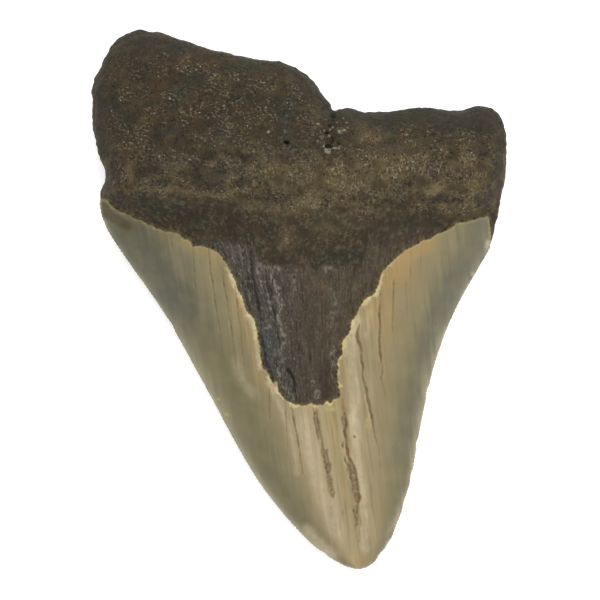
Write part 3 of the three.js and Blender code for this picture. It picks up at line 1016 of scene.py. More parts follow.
@dataclass(frozen=True)
class BoneStains:
    """Where the inner face's bone and dentine are silted, rubbed or stained, and where shade, a
    highlight and a sheen are painted on.
    """

    tan: Marks = (
        Oval(8, 25, 13, 4.4, 0.85), Oval(28.4, 23.2, 3.8, 1.6, 1.7),
        Oval(36.6, 24.6, 4, 2.4, 1.0), Oval(19.6, 26.8, 3, 1.6, 1.1),
        Oval(20, 29.5, 9, 4, 0.8), Oval(8, 18.4, 16, 2, 0.45),
        Oval(36.5, 20.4, 3, 1.6, 0.9), Oval(15, 34.8, 4.2, 1.8, 0.8),
        Oval(34, 29.6, 8, 4, 0.45), Oval(33, 19.4, 5, 2.2, 0.6),
        Oval(10.8, 20.9, 2.4, 1.4, 1.1), Oval(-5, 27, 7, 3.6, 0.6),
        Oval(1.8, 20.8, 3.6, 2, 1.3), Oval(-3.4, 13.4, 2.2, 3.2, 0.8),
        Oval(-10, 20.6, 4.6, 1.6, 0.7), Oval(-26, 20.9, 2.4, 1.2, 0.5),
        Oval(6, 15.4, 4.4, 1.8, 0.6),
        # Painted highlight: this strand lies along the lit crest of the ridge
        Strand(((-38, 22.6), (-32, 23.4), (-25, 23), (-18, 22.2), (-12, 22.4)), 0.8, 0.9),
    )
    # Slate stains in the neck; the long ovals along the lobes' top rims and the left side are
    # painted shade on the rims
    slate: Marks = (
        Oval(-33.5, 50, 3.6, 2.2, 0.9), Oval(-31, 54.6, 8, 2.2, 0.8),
        Oval(-42, 41, 1.6, 10, 0.6), Oval(-18.8, 26.2, 3.4, 2, 1.0),
        Oval(-27, 28.4, 5, 3, 0.6), Oval(36, 38, 8, 3, 1.1),
        Oval(21, 39.2, 12, 2.2, 0.95), Oval(-11, 44, 6, 4, 0.4),
        Oval(24, 17, 8, 1.8, 0.6), Oval(14.5, 11.6, 4.6, 3.4, 0.4), Oval(3.6, 9.6, 5.6, 1.3, 0.6),
    )
    plum: Marks = (
        Oval(28, 27.6, 7, 2, 0.9), Oval(21.4, 31, 2.6, 1.3, 0.9),
        Oval(37, 31.5, 3, 2.6, 0.7), Oval(41.8, 24, 1.6, 5, 0.8),
        Oval(23, 14.4, 8, 2, 0.8), Oval(12, 16.6, 5, 1.8, 0.6),
        Oval(14.5, 23.6, 3.4, 1.4, 0.5), Oval(-27, 29.5, 4, 2.2, 0.6), Oval(-17, 35, 4, 2, 0.5),
    )
    dusky: Marks = (
        Oval(-4, 30.6, 11, 2.3, 0.5), Oval(-32.6, 27.2, 2.6, 2.2, 1.0),
        Oval(-41, 27.4, 2, 2.6, 0.7), Oval(37.6, 27.6, 2.6, 1.2, 0.6),
        Oval(-13.6, 26.8, 2.8, 2.2, 0.6),
        Strand(((-24, 24.6), (-19, 24.3), (-14.5, 24.8)), 1.3, 0.6),
        Oval(-24, 18.4, 9, 2.2, 0.45), Oval(-14, 15.6, 5.4, 2.8, 0.5),
        Oval(-35, 20.6, 5, 1.2, 0.6), Oval(28, 20.7, 3.6, 0.8, 0.7),
        Oval(6, -16.5, 2.1, 5, 0.9), Oval(2.8, -5, 1.6, 5, 0.5),
    )
    rusty: Marks = (
        Oval(-30, 46, 5, 2.4, 0.5), Oval(-24, 51.2, 3, 0.8, 0.8),
        Oval(-18.6, 50, 2, 0.9, 0.9), Oval(-36.4, 28, 2, 3, 0.7),
        Oval(-31, 39, 4, 2, 0.5), Oval(-19, 41, 3, 2, 0.5),
        Oval(9.4, 20.4, 3, 1.2, 0.6), Oval(-3, 19.8, 2.4, 1.2, 0.7),
        Oval(14.6, 33.6, 4, 1.6, 0.5), Oval(4.9, 3, 0.6, 1.5, 1.0),
    )
    frost: Marks = (
        Strand(((-12.5, 11.5), (-11.5, 5), (-10.3, 1.2), (-9.3, -3)), 0.8, 0.45),
        Strand(((-8.6, 9.8), (-7.7, 3.2), (-6.6, -1.9), (-5.8, -6.6)), 0.7, 0.7),
        Strand(((-5.8, 7.8), (-4.7, 1), (-4.2, -3.6), (-3.6, -8.8), (-2.9, -13.8)), 0.7, 1.0),
        Strand(((-3.6, -13), (-3.9, -15.9), (-2.8, -19), (-1.8, -21.8)), 0.6, 0.9),
        Strand(((-1.6, 7.2), (-1.5, 0.4)), 0.7, 0.6),
        Strand(((2.7, -15.6), (3.2, -18.7), (3.7, -21.9)), 0.6, 0.9),
        Strand(((7.4, -9), (7.7, -13.4), (8, -17.6)), 0.4, 0.8),
        Strand(((-8, 8.4), (-5.6, 7.4), (-2.4, 6.4)), 0.6, 0.7),
        Strand(((4.4, 7.4), (7.4, 7), (10.6, 7.2)), 0.6, 0.7),
        Strand(((6, 4.4), (6.8, 1), (7.4, -3), (7.6, -7)), 1.3, 0.5),
    )
    # Painted sheen: a blue-grey reflection painted on the tongue's left side
    sheen: Marks = (
        Strand(((-7.4, -5), (-6.6, -10), (-5.9, -14), (-4.8, -17.6)), 0.8, 1.0),
        Strand(((-12, 11), (-10.6, 6), (-9.4, 0)), 1.4, 0.2),
    )


@dataclass(frozen=True)
class EnamelStains:
    """Where the inner face's enamel is stained, rubbed or filled with silt, and where shade and a
    highlight are painted on.
    """

    # Grey stains, partly painted shade on the flanks that slope away from the light
    grey: Marks = (
        Strand(((-33.6, 12.6), (-29, 5.4), (-25.4, -1), (-23.6, -5)), 2.6, 0.85),
        Strand(((35.4, 12), (32.6, 4), (29.8, -3), (27.2, -10), (25, -17)), 2.2, 0.9),
        Strand(((25, -15), (23.6, -23), (22, -31), (20.6, -37)), 2.2, 1.0),
        Strand(((27.4, 8), (26.4, 1), (25, -8)), 0.9, 0.25),
        Strand(((15.8, -11), (16.2, -18), (16.6, -25)), 0.9, 0.35), Oval(25.6, -2, 1.6, 3.4, 0.3),
    )
    dun: Marks = (
        Strand(((-45, 23.4), (-42, 20), (-40, 18), (-37, 16.2), (-34.4, 14.8)), 1.4, 1.1),
        Strand(((-10.6, -31), (-8, -35), (-5.6, -39)), 1.8, 0.25),
        Strand(((-1.6, -44), (0.6, -46.4), (3, -49)), 1.4, 0.25),
        Strand(((-23, -9), (-20.4, -13.6)), 1.6, 0.25), Oval(19.6, -46, 2, 5, 0.15),
        # Along the right edge this darkening is partly painted shade on the flank
        Strand(((29.6, -10.4), (28.2, -14), (27.2, -18), (26.2, -22.4), (25.4, -26)), 1.5, 0.3),
    )
    amber: Marks = (
        Strand(((30, 13.6), (25, 11), (21.4, 8.2), (19.2, 4.8), (17.8, 1.4)), 2.0, 1.1),
        Oval(22, 6.6, 3.2, 4, 0.75), Oval(19, -2.4, 1.8, 7, 0.6),
        Strand(((17.2, 1), (17.2, -6), (17.5, -12), (18, -17)), 0.9, 0.4),
        Strand(((-27, 13.4), (-22.4, 11), (-18, 9.8), (-15.8, 7)), 1.3, 0.5),
        Strand(((-31.4, 14.8), (-28.8, 13.2), (-26, 12)), 1.6, 0.35),
        Strand(((-16, 7), (-13.8, 1.6), (-11.8, -4), (-10, -10), (-8.6, -16), (-6, -20)), 1.3, 0.5),
        Oval(-19, 6.6, 1.8, 4, 0.35), Strand(((14.6, 0.6), (15, -3), (14.8, -7)), 1.2, 0.6),
        Strand(((9.1, -17.6), (9.2, -21), (9.5, -25)), 0.4, 0.6), Oval(6.8, -25.6, 1.6, 2.4, 0.45),
        Strand(((6.2, -23.4), (7, -29), (8.4, -36), (10, -44)), 1.5, 0.3),
        Oval(10.9, -31, 0.8, 1.4, 0.35), Oval(13, -55.4, 5, 2.6, 0.45),
    )
    # Cream stains; the streak right of the main crack down to the tip and the strand along the left
    # edge by the tip are partly a painted highlight
    cream: Marks = (
        Strand(((13.6, -2.6), (11.8, -6), (11.2, -10), (11, -13), (11.6, -17), (12.2, -23)), 1.1),
        Strand(((11.6, -21), (12, -27), (12.1, -33), (13.1, -39), (13.5, -45)), 1.0, 1.1),
        Strand(((13.7, -43), (13.9, -49), (13.8, -55)), 1.0, 1.0),
        Strand(((0.6, -47.4), (2.6, -50.2), (4.6, -52.2), (6.8, -54.2), (9, -55.6)), 1.3, 0.9),
        Oval(12.6, -54.8, 3, 2.2, 0.3), Oval(40.2, 11.9, 0.5, 0.9, 1.4),
        Oval(11.4, -25.4, 0.9, 4.4, 1.5), Strand(((16.6, 4.4), (16, 3), (15.7, 1.8)), 0.34, 1.1),
        Strand(((15, 1), (14, -0.4), (13.1, -1.6)), 0.6, 1.2),
        Strand(((14.9, -1), (14.6, -4), (14, -8.6)), 0.8, 0.75),
        Strand(((12.4, -3.4), (11.4, -5), (10.8, -6.8), (10.2, -9), (9.8, -12)), 0.7, 1.3),
        Strand(((-15, 6.2), (-12.6, 0.6), (-11, -3.2), (-9.6, -6), (-8.9, -10), (-8.2, -15)), 0.5),
        Strand(((-7, -16.6), (-5.6, -18.8), (-4.6, -20.6)), 0.7, 1.0),
        Strand(((0.8, -23), (1.4, -29), (2.9, -35), (4.5, -41), (6.7, -47), (9.2, -52.4)), 1.7, 0.8),
        Strand(((-6.4, -17.8), (-4, -22.5), (-2.2, -27), (-1, -33), (-0.3, -38)), 0.8, 0.6),
        Strand(((-14, -10.6), (-11.6, -17.8), (-8.2, -21.4)), 1.5, 0.45),
        Strand(((22, -43), (20.4, -47.6), (18.2, -51.4)), 1.0, 0.4),
    )
    peach: Marks = (
        Oval(2.2, -22.9, 1.7, 0.6, 1.0), Oval(16.2, 3, 0.5, 1.5, 0.8),
        Strand(((-13.4, 1.6), (-12.3, -1.6), (-11.3, -3.6)), 0.4, 1.0),
        Oval(10.7, -31.6, 0.6, 1, 0.9), Oval(9.3, -40.5, 0.8, 1.8, 0.6),
        Oval(13.9, -20.8, 0.4, 1.2, 1.0), Oval(9.9, -22, 0.4, 1.2, 0.8),
    )
    silt: Marks = (
        Strand(((9.4, -22), (9.6, -25), (9.6, -28)), 0.5, 0.7),
        Strand(((10.3, -34), (11.3, -36.5), (11.8, -39), (12.1, -42)), 0.75, 1.3),
        Strand(((12, -43), (12.1, -45.6), (12.4, -48.6)), 0.5, 0.8),
        Strand(((3.2, -22.8), (3.7, -26), (4.4, -30)), 0.6, 0.75),
        Strand(((4.8, -31), (5.7, -34.5), (6.3, -37.5), (7, -41.6)), 0.6, 1.0),
        Oval(12.2, -8.2, 0.4, 1.7, 0.8), Oval(-0.4, -29.4, 0.5, 2, 0.5),
        Strand(((12.6, -5.6), (12.3, -7.6), (12.9, -10)), 0.26, 0.9),
        Oval(11.8, -28.9, 0.34, 0.3, 1.3), Oval(7.1, -41.3, 0.5, 0.9, 1.2),
        Oval(9.3, -45.4, 0.24, 1.2, 0.7), Oval(6.7, -44, 0.3, 0.6, 0.6),
    )
    ochre: Marks = (
        Oval(14.6, -26.3, 0.75, 1.8, 1.2), Oval(14.4, -24.2, 0.5, 0.8, 0.6),
        Oval(6.7, -22.8, 1.4, 0.85, 1.2), Oval(7.9, -22, 0.35, 1, 0.9),
        Oval(8.6, -12.4, 0.4, 1.5, 0.9), Oval(8.6, -15.6, 0.3, 1.6, 0.6),
        Oval(12.5, -4, 0.9, 0.7, 0.9), Oval(-17.4, -21.3, 0.5, 0.45, 1.2),
        Oval(-15.6, -24.5, 0.5, 0.45, 1.2), Oval(37.2, 5.8, 0.7, 0.7, 1.0),
        Oval(29.2, -12.2, 0.4, 0.7, 1.0),
    )
    rust: Marks = (
        Strand(((11.9, -40.6), (12.4, -41.8), (13.1, -43.2)), 0.6, 1.4),
        Oval(12.5, -42.6, 0.7, 0.7, 1.2), Oval(10.2, -32.2, 0.36, 1.1, 1.0),
        Oval(13.9, -19, 0.3, 1.2, 0.5), Oval(12.7, -7.4, 0.3, 0.9, 0.6),
    )


@dataclass(frozen=True)
class Zones:
    """Where the finishes change."""

    sway: Grain = Grain(2.4, 6.0, 6.0, 4.1)  # how the bands across the tooth waver
    neck: Pair = (27.0, 23.0)
    below_lobes: Pair = (36.0, 28.0)
    smooth: Pair = (20.5, 16.5)
    smooth_drop: float = 3.0  # it lies this much lower on the left
    smooth_drop_x: Pair = (-8.0, -20.0)
    inside: Pair = (0.5, 6.0)  # in from the rim, as is the next
    side: Pair = (0.9, 0.3)
    side_grit: float = 0.8
    worn_from_left: Pair = (0.1, 0.28)  # shares of the way across
    worn_from_right: Pair = (0.84, 0.66)
    lost_when_smooth: float = 0.6  # the share of the grit that is gone
    lost_on_slate: float = 0.5
    # How far the edges of the stains stray, the size of one wave, and a seed
    coarse_stray: tuple[float, float, float] = (1.6, 4.0, 7.7)
    fine_stray: tuple[float, float, float] = (0.5, 1.1, 1.9)
    enamel_stray: tuple[float, float, float] = (0.3, 1.6, 6.1)


@dataclass
class FossilTooth:
    """The whole tooth: one closed mesh with the bone of its root and the enamel of its crown."""

    outline: ToothPlan = field(default_factory=ToothPlan)
    relief: Relief = field(default_factory=Relief)
    inner_grid: Grid = Grid(
        0.37, 0.43, 0.28, ((0.09, 1), (0.25, 2), (0.5, 3)),
        ((0.04, 1), (0.1, 1), (0.19, 1), (0.31, 1), (0.46, 1), (0.64, 1)),
    )
    outer_grid: Grid = Grid(
        0.66, 0.8, 0.66, ((0.12, 1), (0.4, 3)),
        ((0.04, 1), (0.1, 1), (0.19, 1), (0.31, 1), (0.5, 2)),
    )
    beside_crack: tuple[float, ...] = (0.0, 0.14, 0.3)  # rows of points, counted from its lips
    beside_border: tuple[float, ...] = (0.42, -0.25)
    clear_of_rim: float = 0.25
    clear_of_lines: float = 0.45
    clear_of_border: float = 0.4
    tongue_clear_of_border: float = 0.3
    tongue_top: float = 9.0
    beyond_cracks: float = 1.6  # no crack is felt farther away than this
    crack_shoulder: float = 0.12
    crack_floor: float = 0.3  # in half widths
    # The painted highlight on each crack's lit side lies this far beyond its edge, and is lip_width
    # wide
    highlight_offset: float = 0.3
    lip_width: float = 0.22
    rough_from_border: Pair = (-0.2, -1.4)
    rough_steepness: Pair = (0.12, 0.5)
    zones: Zones = Zones()
    bone_stains: BoneStains = BoneStains()
    enamel_stains: EnamelStains = EnamelStains()

    def crack_rows(self, crack: Crack) -> tuple[Array, Array]:
        """Lays rows of points along a crack.

        Args:
            crack: The crack.

        Returns:
            Its centre line, and the points of its two lips and of the rows beyond them.
        """
        line = crack.trace()
        travel = Route(line).travel
        half = crack.half_width(travel, travel[-1])
        sideways = normals_of(line, closed=False)
        rows = [
            line + sideways * (side * (half + beyond))[:, None]
            for side in (-1, 1) for beyond in self.beside_crack
        ]
        return line, np.vstack(rows)

    def sheet(self, corners: tuple, cracks: tuple[Crack, ...], grid: Grid) -> Sheet:
        """Spreads points over one face and joins them into triangles.

        Args:
            corners: The enamel border's given points.
            cracks: The cracks in this face's enamel.
            grid: How closely the points are set.

        Returns:
            The triangulated face, with the enamel's border and the cracks along its edges.
        """
        outline = self.outline
        border, first, last = outline.border(corners)
        count = len(outline.rim)
        points = [outline.rim, border[1:-1]]
        border_ids = [first, *range(count, count + len(border) - 2), last]
        edges = list(zip(border_ids, border_ids[1:]))
        total = count + len(border) - 2
        keep_clear = [border]
        for crack in cracks:
            line, beside = self.crack_rows(crack)
            points += [line, beside]
            edges += [(total + step, total + step + 1) for step in range(len(line) - 1)]
            total += len(line) + len(beside)
            keep_clear.append(line)
        border_route = outline.border_route(corners)
        sideways = normals_of(border, closed=False)
        shifts = (self.relief.border_wall, *self.beside_border)
        beside_border = np.vstack([border + sideways * shift for shift in shifts])
        for rows, wanted in (
            (grid.crown_rows, outline.on_crown), (grid.root_rows, ~outline.on_crown),
        ):
            for depth, every in rows:
                points.append((outline.rim + outline.inward * depth)[wanted][::every])
        from_rim = outline.edge.distance(beside_border)
        points.append(beside_border[from_rim > self.clear_of_rim])
        innermost = grid.crown_rows[-1][0] + self.clear_of_rim
        taken = Route(np.vstack(keep_clear))
        for spacing, wanted in (
            (grid.bone, lambda spot: self.is_bone(spot, border_route)),
            (grid.enamel, lambda spot: self.is_enamel(spot, border_route)),
            (grid.tongue, lambda spot: self.is_tongue(spot, border_route)),
        ):
            spread = self.hexagonal(spacing)
            spread = spread[self.is_inside(spread) & wanted(spread)]
            spread = spread[outline.edge.distance(spread) > innermost]
            near = np.fromiter(
                (taken.tree.find((x, y, 0.0))[2] for x, y in spread.tolist()), float, len(spread)
            )
            points.append(spread[near > self.clear_of_lines])
        places = np.vstack(points)
        crown_ids = [*reversed(border_ids), *self.rim_walk(first, last)]
        found = delaunay_2d_cdt(
            [Vector(place) for place in places.tolist()],
            edges,
            [list(range(count)), crown_ids],
            1,
            1e-5,
        )
        plan = np.array([tuple(vertex) for vertex in found[0]])
        triangles = np.array(found[2])
        finishes = np.array([
            Finish.ENAMEL.value if 1 in faces else Finish.BONE.value for faces in found[5]
        ])
        rim = np.full(count, -1)
        for new, olds in enumerate(found[3]):
            for old in olds:
                if old < count:
                    rim[old] = new
        return Sheet(plan, triangles, finishes, rim)

    def rim_walk(self, first: int, last: int) -> list[int]:
        """The rim's points from the border's left end round the tip to its right end."""
        count = len(self.outline.rim)
        return [(first + step) % count for step in range(1, (last - first) % count)]

    def is_tongue(self, places: Array, border: Route) -> Array:
        """Which places are on the bare dentine of the tongue."""
        distance, _, side = border.measure(places)
        clear = (side > 0) & (distance > self.tongue_clear_of_border)
        return clear & (places[:, 1] < self.tongue_top)

    def is_bone(self, places: Array, border: Route) -> Array:
        """Which places are on the root or the neck."""
        distance, _, side = border.measure(places)
        clear = (side > 0) & (distance > self.clear_of_border)
        return clear & (places[:, 1] >= self.tongue_top)

    def is_enamel(self, places: Array, border: Route) -> Array:
        """Which places are on the enamel."""
        distance, _, side = border.measure(places)
        return (side < 0) & (distance > self.clear_of_border)

    def is_inside(self, places: Array) -> Array:
        """Which places are inside the outline: the rim runs counterclockwise."""
        return self.outline.edge.measure(places)[2] > 0

    def hexagonal(self, spacing: float) -> Array:
        """Lays points in a triangular grid over the whole outline.

        Args:
            spacing: How far apart they are.

        Returns:
            The points, (n, 2).
        """
        low, high = self.outline.rim.min(axis=0), self.outline.rim.max(axis=0)
        row_height = spacing * math.sin(math.pi / 3)
        rows = np.arange(low[1], high[1], row_height)
        columns = np.arange(low[0], high[0], spacing)
        x, y = np.meshgrid(columns, rows)
        x[1::2] += spacing / 2
        return np.column_stack([x.ravel(), y.ravel()])

    def measure(self, plan: Array, corners: tuple, cracks: tuple[Crack, ...]) -> Measured:
        """Measures what the heights and the finishes depend on at each place.

        Args:
            plan: The places, (n, 2).
            corners: The enamel border's given points.
            cracks: The cracks in this face's enamel.

        Returns:
            Everything measured, one number for each place and thing.
        """
        outline = self.outline
        distance, _, side = outline.border_route(corners).measure(plan)
        from_crack = np.full(len(plan), self.beyond_cracks)
        half_crack = np.zeros(len(plan))
        darkness = np.zeros(len(plan))
        depth = np.zeros(len(plan))
        highlight = np.zeros(len(plan))
        for crack in cracks:
            route = Route(crack.trace())
            low = route.points.min(axis=0) - self.beyond_cracks
            high = route.points.max(axis=0) + self.beyond_cracks
            near = np.flatnonzero(((plan > low) & (plan < high)).all(axis=1))
            reach, travel, hand = route.measure(plan[near])
            length = route.travel[-1]
            half = crack.half_width(travel, length)
            dark = crack.darkness_at(travel, length)
            closest = reach < from_crack[near]
            mine = near[closest]
            from_crack[mine] = reach[closest]
            half_crack[mine] = half[closest]
            darkness[mine] = dark[closest]
            open_share = np.minimum(half / (0.5 * crack.width), 1.0)
            wall = smoothstep(reach, half + self.crack_shoulder, self.crack_floor * half)
            depth[near] = np.maximum(depth[near], crack.depth * open_share * wall)
            # A painted highlight beside the crack, on its -x side where its wall faces the light,
            # stronger by darker cracks
            beside = bell(reach - half - self.highlight_offset, self.lip_width)
            highlight[near] = np.maximum(highlight[near], beside * (hand < 0) * dark**2)
        return Measured(
            places=plan,
            from_edge=outline.edge.distance(plan),
            from_left=outline.left_side.distance(plan),
            from_right=outline.right_side.distance(plan),
            into_enamel=-side * distance,
            from_crack=from_crack,
            half_crack=half_crack,
            crack_darkness=darkness,
            crack_depth=depth,
            crack_highlight=highlight,
        )

    def build(self) -> bpy.types.Object:
        """Makes the tooth's mesh, with what its finishes read kept on its points.

        Returns:
            The mesh object, linked to the scene.
        """
        inner = self.sheet(self.outline.inner_border, INNER_CRACKS, self.inner_grid)
        outer = self.sheet(self.outline.outer_border, OUTER_CRACKS, self.outer_grid)
        above = self.measure(inner.plan, self.outline.inner_border, INNER_CRACKS)
        below = self.measure(outer.plan, self.outline.outer_border, OUTER_CRACKS)
        inner_z, inner_fine = self.relief.inner_height(above)
        outer_z, outer_fine = self.relief.outer_height(below)
        on_rim = self.relief.rim_height(self.outline.rim)
        inner_z[inner.rim] = on_rim + 0.5 * self.relief.enamel * self.outline.on_crown

        own = np.setdiff1d(np.arange(len(outer.plan)), outer.rim)
        renumber = np.empty(len(outer.plan), int)
        renumber[outer.rim] = inner.rim
        renumber[own] = len(inner.plan) + np.arange(len(own))
        vertices = np.vstack([
            np.column_stack([inner.plan, inner_z]),
            np.column_stack([outer.plan, outer_z])[own],
        ])
        faces = np.vstack([inner.triangles, renumber[outer.triangles][:, ::-1]])
        into_enamel = np.concatenate([above.into_enamel, below.into_enamel[own]])
        bone = smoothstep(into_enamel, *self.rough_from_border)
        vertices, stray = self.roughened(vertices, faces, bone)
        # The roughening also goes into the fine relief, so the bone's painted shade darkens where
        # the sides fall back
        inner_fine += stray[:len(inner.plan)]
        outer_fine[own] += stray[len(inner.plan):]

        mesh = bpy.data.meshes.new("fossil_tooth")
        mesh.from_pydata((vertices * MILLIMETRE).tolist(), [], faces.tolist())
        finishes = np.concatenate([inner.finishes, outer.finishes])
        mesh.polygons.foreach_set("material_index", finishes)
        mesh.shade_smooth()
        inner_notes = self.notes(above, inner_fine, is_inner=True)
        outer_notes = self.notes(below, outer_fine, is_inner=False)
        for name, values in inner_notes.items():
            attribute = mesh.attributes.new(name, "FLOAT", "POINT")
            both = np.concatenate([values, outer_notes[name][own]])
            attribute.data.foreach_set("value", both.astype(np.float32))
        mesh.update()
        tooth = bpy.data.objects.new("fossil_tooth", mesh)
        bpy.context.scene.collection.objects.link(tooth)
        return tooth

    def roughened(self, vertices: Array, faces: Array, bone: Array) -> tuple[Array, Array]:
        """Roughens the root's steep sides, where a change of height alone would not show.

        Args:
            vertices: The mesh's points, (n, 3).
            faces: Its triangles.
            bone: 1 on the bone and 0 on the enamel, for each point.

        Returns:
            The moved points, and how far each of them moved outwards.
        """
        corners = [vertices[faces[:, corner]] for corner in range(3)]
        facing = np.cross(corners[1] - corners[0], corners[2] - corners[0])
        normals = np.zeros_like(vertices)
        for corner in range(3):
            np.add.at(normals, faces[:, corner], facing)
        normals /= np.maximum(np.linalg.norm(normals, axis=1, keepdims=True), 1e-12)
        steep = smoothstep(1.0 - np.abs(normals[:, 2]), *self.rough_steepness)
        stray = self.relief.side_grain(vertices) * steep * bone
        moved = vertices + normals * stray[:, None]
        moved[:, 2] = np.maximum(moved[:, 2], 0.0)
        return moved, stray

    def notes(self, spot: Measured, fine: Array, is_inner: bool) -> dict[str, Array]:
        """What the finishes read at each point of one face.

        Args:
            spot: The measured points.
            fine: The fine part of their relief.
            is_inner: Whether they are on the inner face, which has the foramen and the crumbs.

        Returns:
            One array for each attribute of the mesh, by its name.
        """
        relief, zones, places = self.relief, self.zones, spot.places
        across = spot.from_left / spot.width
        x, y = places.T
        band = y + zones.sway.rise(places)
        side = smoothstep(spot.from_edge, *zones.side) if is_inner else 1.0
        inside = smoothstep(spot.from_edge, *zones.inside)
        worn = smoothstep(across, *zones.worn_from_left)
        below_lip = band - zones.smooth_drop * smoothstep(x, *zones.smooth_drop_x)
        hollows, crumbs = relief.hollows_and_crumbs(places)
        measured = (
            "into_enamel", "from_edge", "from_crack", "half_crack", "crack_darkness", "crack_highlight",
        )
        notes = {name: getattr(spot, name) for name in measured}
        notes |= {
            "across": across,
            "height": y,
            "neck": smoothstep(band, *zones.neck),
            "below_lobes": smoothstep(band, *zones.below_lobes),
            "smooth": smoothstep(below_lip, *zones.smooth),
            "grit_cover": np.maximum(inside, zones.side_grit * side),
            "relief": fine,
            "strand": relief.strand(places),
            "streak": relief.streak(places),
            "worn_middle": worn * smoothstep(across, *zones.worn_from_right),
            "dentine": relief.bare_dentine(places, 1.0),
            "groove": strongest(relief.grooves, places),
            "hollow": hollows,
            "crumb": crumbs,
        }
        blots = strayed(strayed(places, *zones.coarse_stray), *zones.fine_stray)
        streaks = strayed(places, *zones.enamel_stray)
        for stains, stained in ((self.bone_stains, blots), (self.enamel_stains, streaks)):
            for kind in fields(stains):
                notes[kind.name] = strongest(getattr(stains, kind.name), stained)
        left_when_smooth = 1.0 - zones.lost_when_smooth * notes["smooth"]
        notes["grit_cover"] *= left_when_smooth * (1.0 - zones.lost_on_slate * notes["slate"])
        if not is_inner:
            kinds = fields(BoneStains) + fields(EnamelStains)
            for name in ("dentine", "groove", "hollow", "crumb", *(kind.name for kind in kinds)):
                notes[name] = np.zeros(len(places))
        return notes


# The finishes


def linear(colour: str) -> tuple[float, float, float, float]:
    """Turns an sRGB colour into the linear one that Blender mixes with.

    Args:
        colour: The colour in hex, such as #8a7f66.

    Returns:
        Its red, green, blue and opacity.
    """
    channels = [int(colour[start:start + 2], 16) / 255 for start in (1, 3, 5)]
    turned = [c / 12.92 if c <= 0.04045 else ((c + 0.055) / 1.055) ** 2.4 for c in channels]
    return (*turned, 1.0)


def add_node(
    tree: bpy.types.NodeTree,
    kind: str,
    inputs: dict | None = None,
    stops: tuple[tuple[float, str], ...] = (),
    **settings: object,
) -> bpy.types.Node:
    """Adds a node with its settings, and fills or links its inputs.

    Args:
        tree: The node tree that it is added to.
        kind: The node's type, such as ShaderNodeTexNoise.
        inputs: Socket names or numbers, each with a value or the output that feeds it.
        stops: A colour ramp's stops, each a place from 0 to 1 and an sRGB hex colour.
        **settings: The node's own settings.

    Returns:
        The new node.
    """
    node = tree.nodes.new(kind)
    for name, value in settings.items():
        setattr(node, name, value)
    for socket, value in (inputs or {}).items():
        if isinstance(value, Socket):
            tree.links.new(value, node.inputs[socket])
        else:
            node.inputs[socket].default_value = value
    for index, (place, colour) in enumerate(stops):
        ramp = node.color_ramp.elements
        element = ramp[index] if index < len(ramp) else ramp.new(place)
        element.position = place
        element.color = linear(colour)
    return node


@dataclass(frozen=True)
class Pattern:
    """Where a colour shows: soft blots of one real size that cover part of a surface."""

    size: float  # across one blot
    low: float  # the noise level at which the colour begins to show
    high: float  # the level at which it covers fully
    slide: float = 0.0  # moves the blots, so that two patterns don't coincide
    detail: float = 2.0
    stretch: tuple[float, float, float] = (1.0, 1.0, 1.0)
    tilt: float = 0.0  # in degrees, how far the stretched blots lean to the left

    def share(self, tree: bpy.types.NodeTree, place: Socket) -> Socket:
        """Adds the pattern to a material.

        Args:
            tree: The material's node tree.
            place: The place on the surface, in millimetres.

        Returns:
            The share of the colour, 0 to 1.
        """
        laid = add_node(tree, "ShaderNodeMapping", {
            "Vector": place,
            "Location": (self.slide, self.slide / 2, self.slide / 3),
            "Rotation": (0.0, 0.0, math.radians(self.tilt)),
            "Scale": self.stretch,
        }, vector_type="TEXTURE")
        blots = add_node(tree, "ShaderNodeTexNoise", {
            "Vector": laid.outputs["Vector"], "Scale": 1.0 / self.size, "Detail": self.detail,
        })
        return add_node(tree, "ShaderNodeMapRange", {
            "Value": blots.outputs["Fac"], "From Min": self.low, "From Max": self.high,
        }, interpolation_type="SMOOTHSTEP").outputs["Result"]


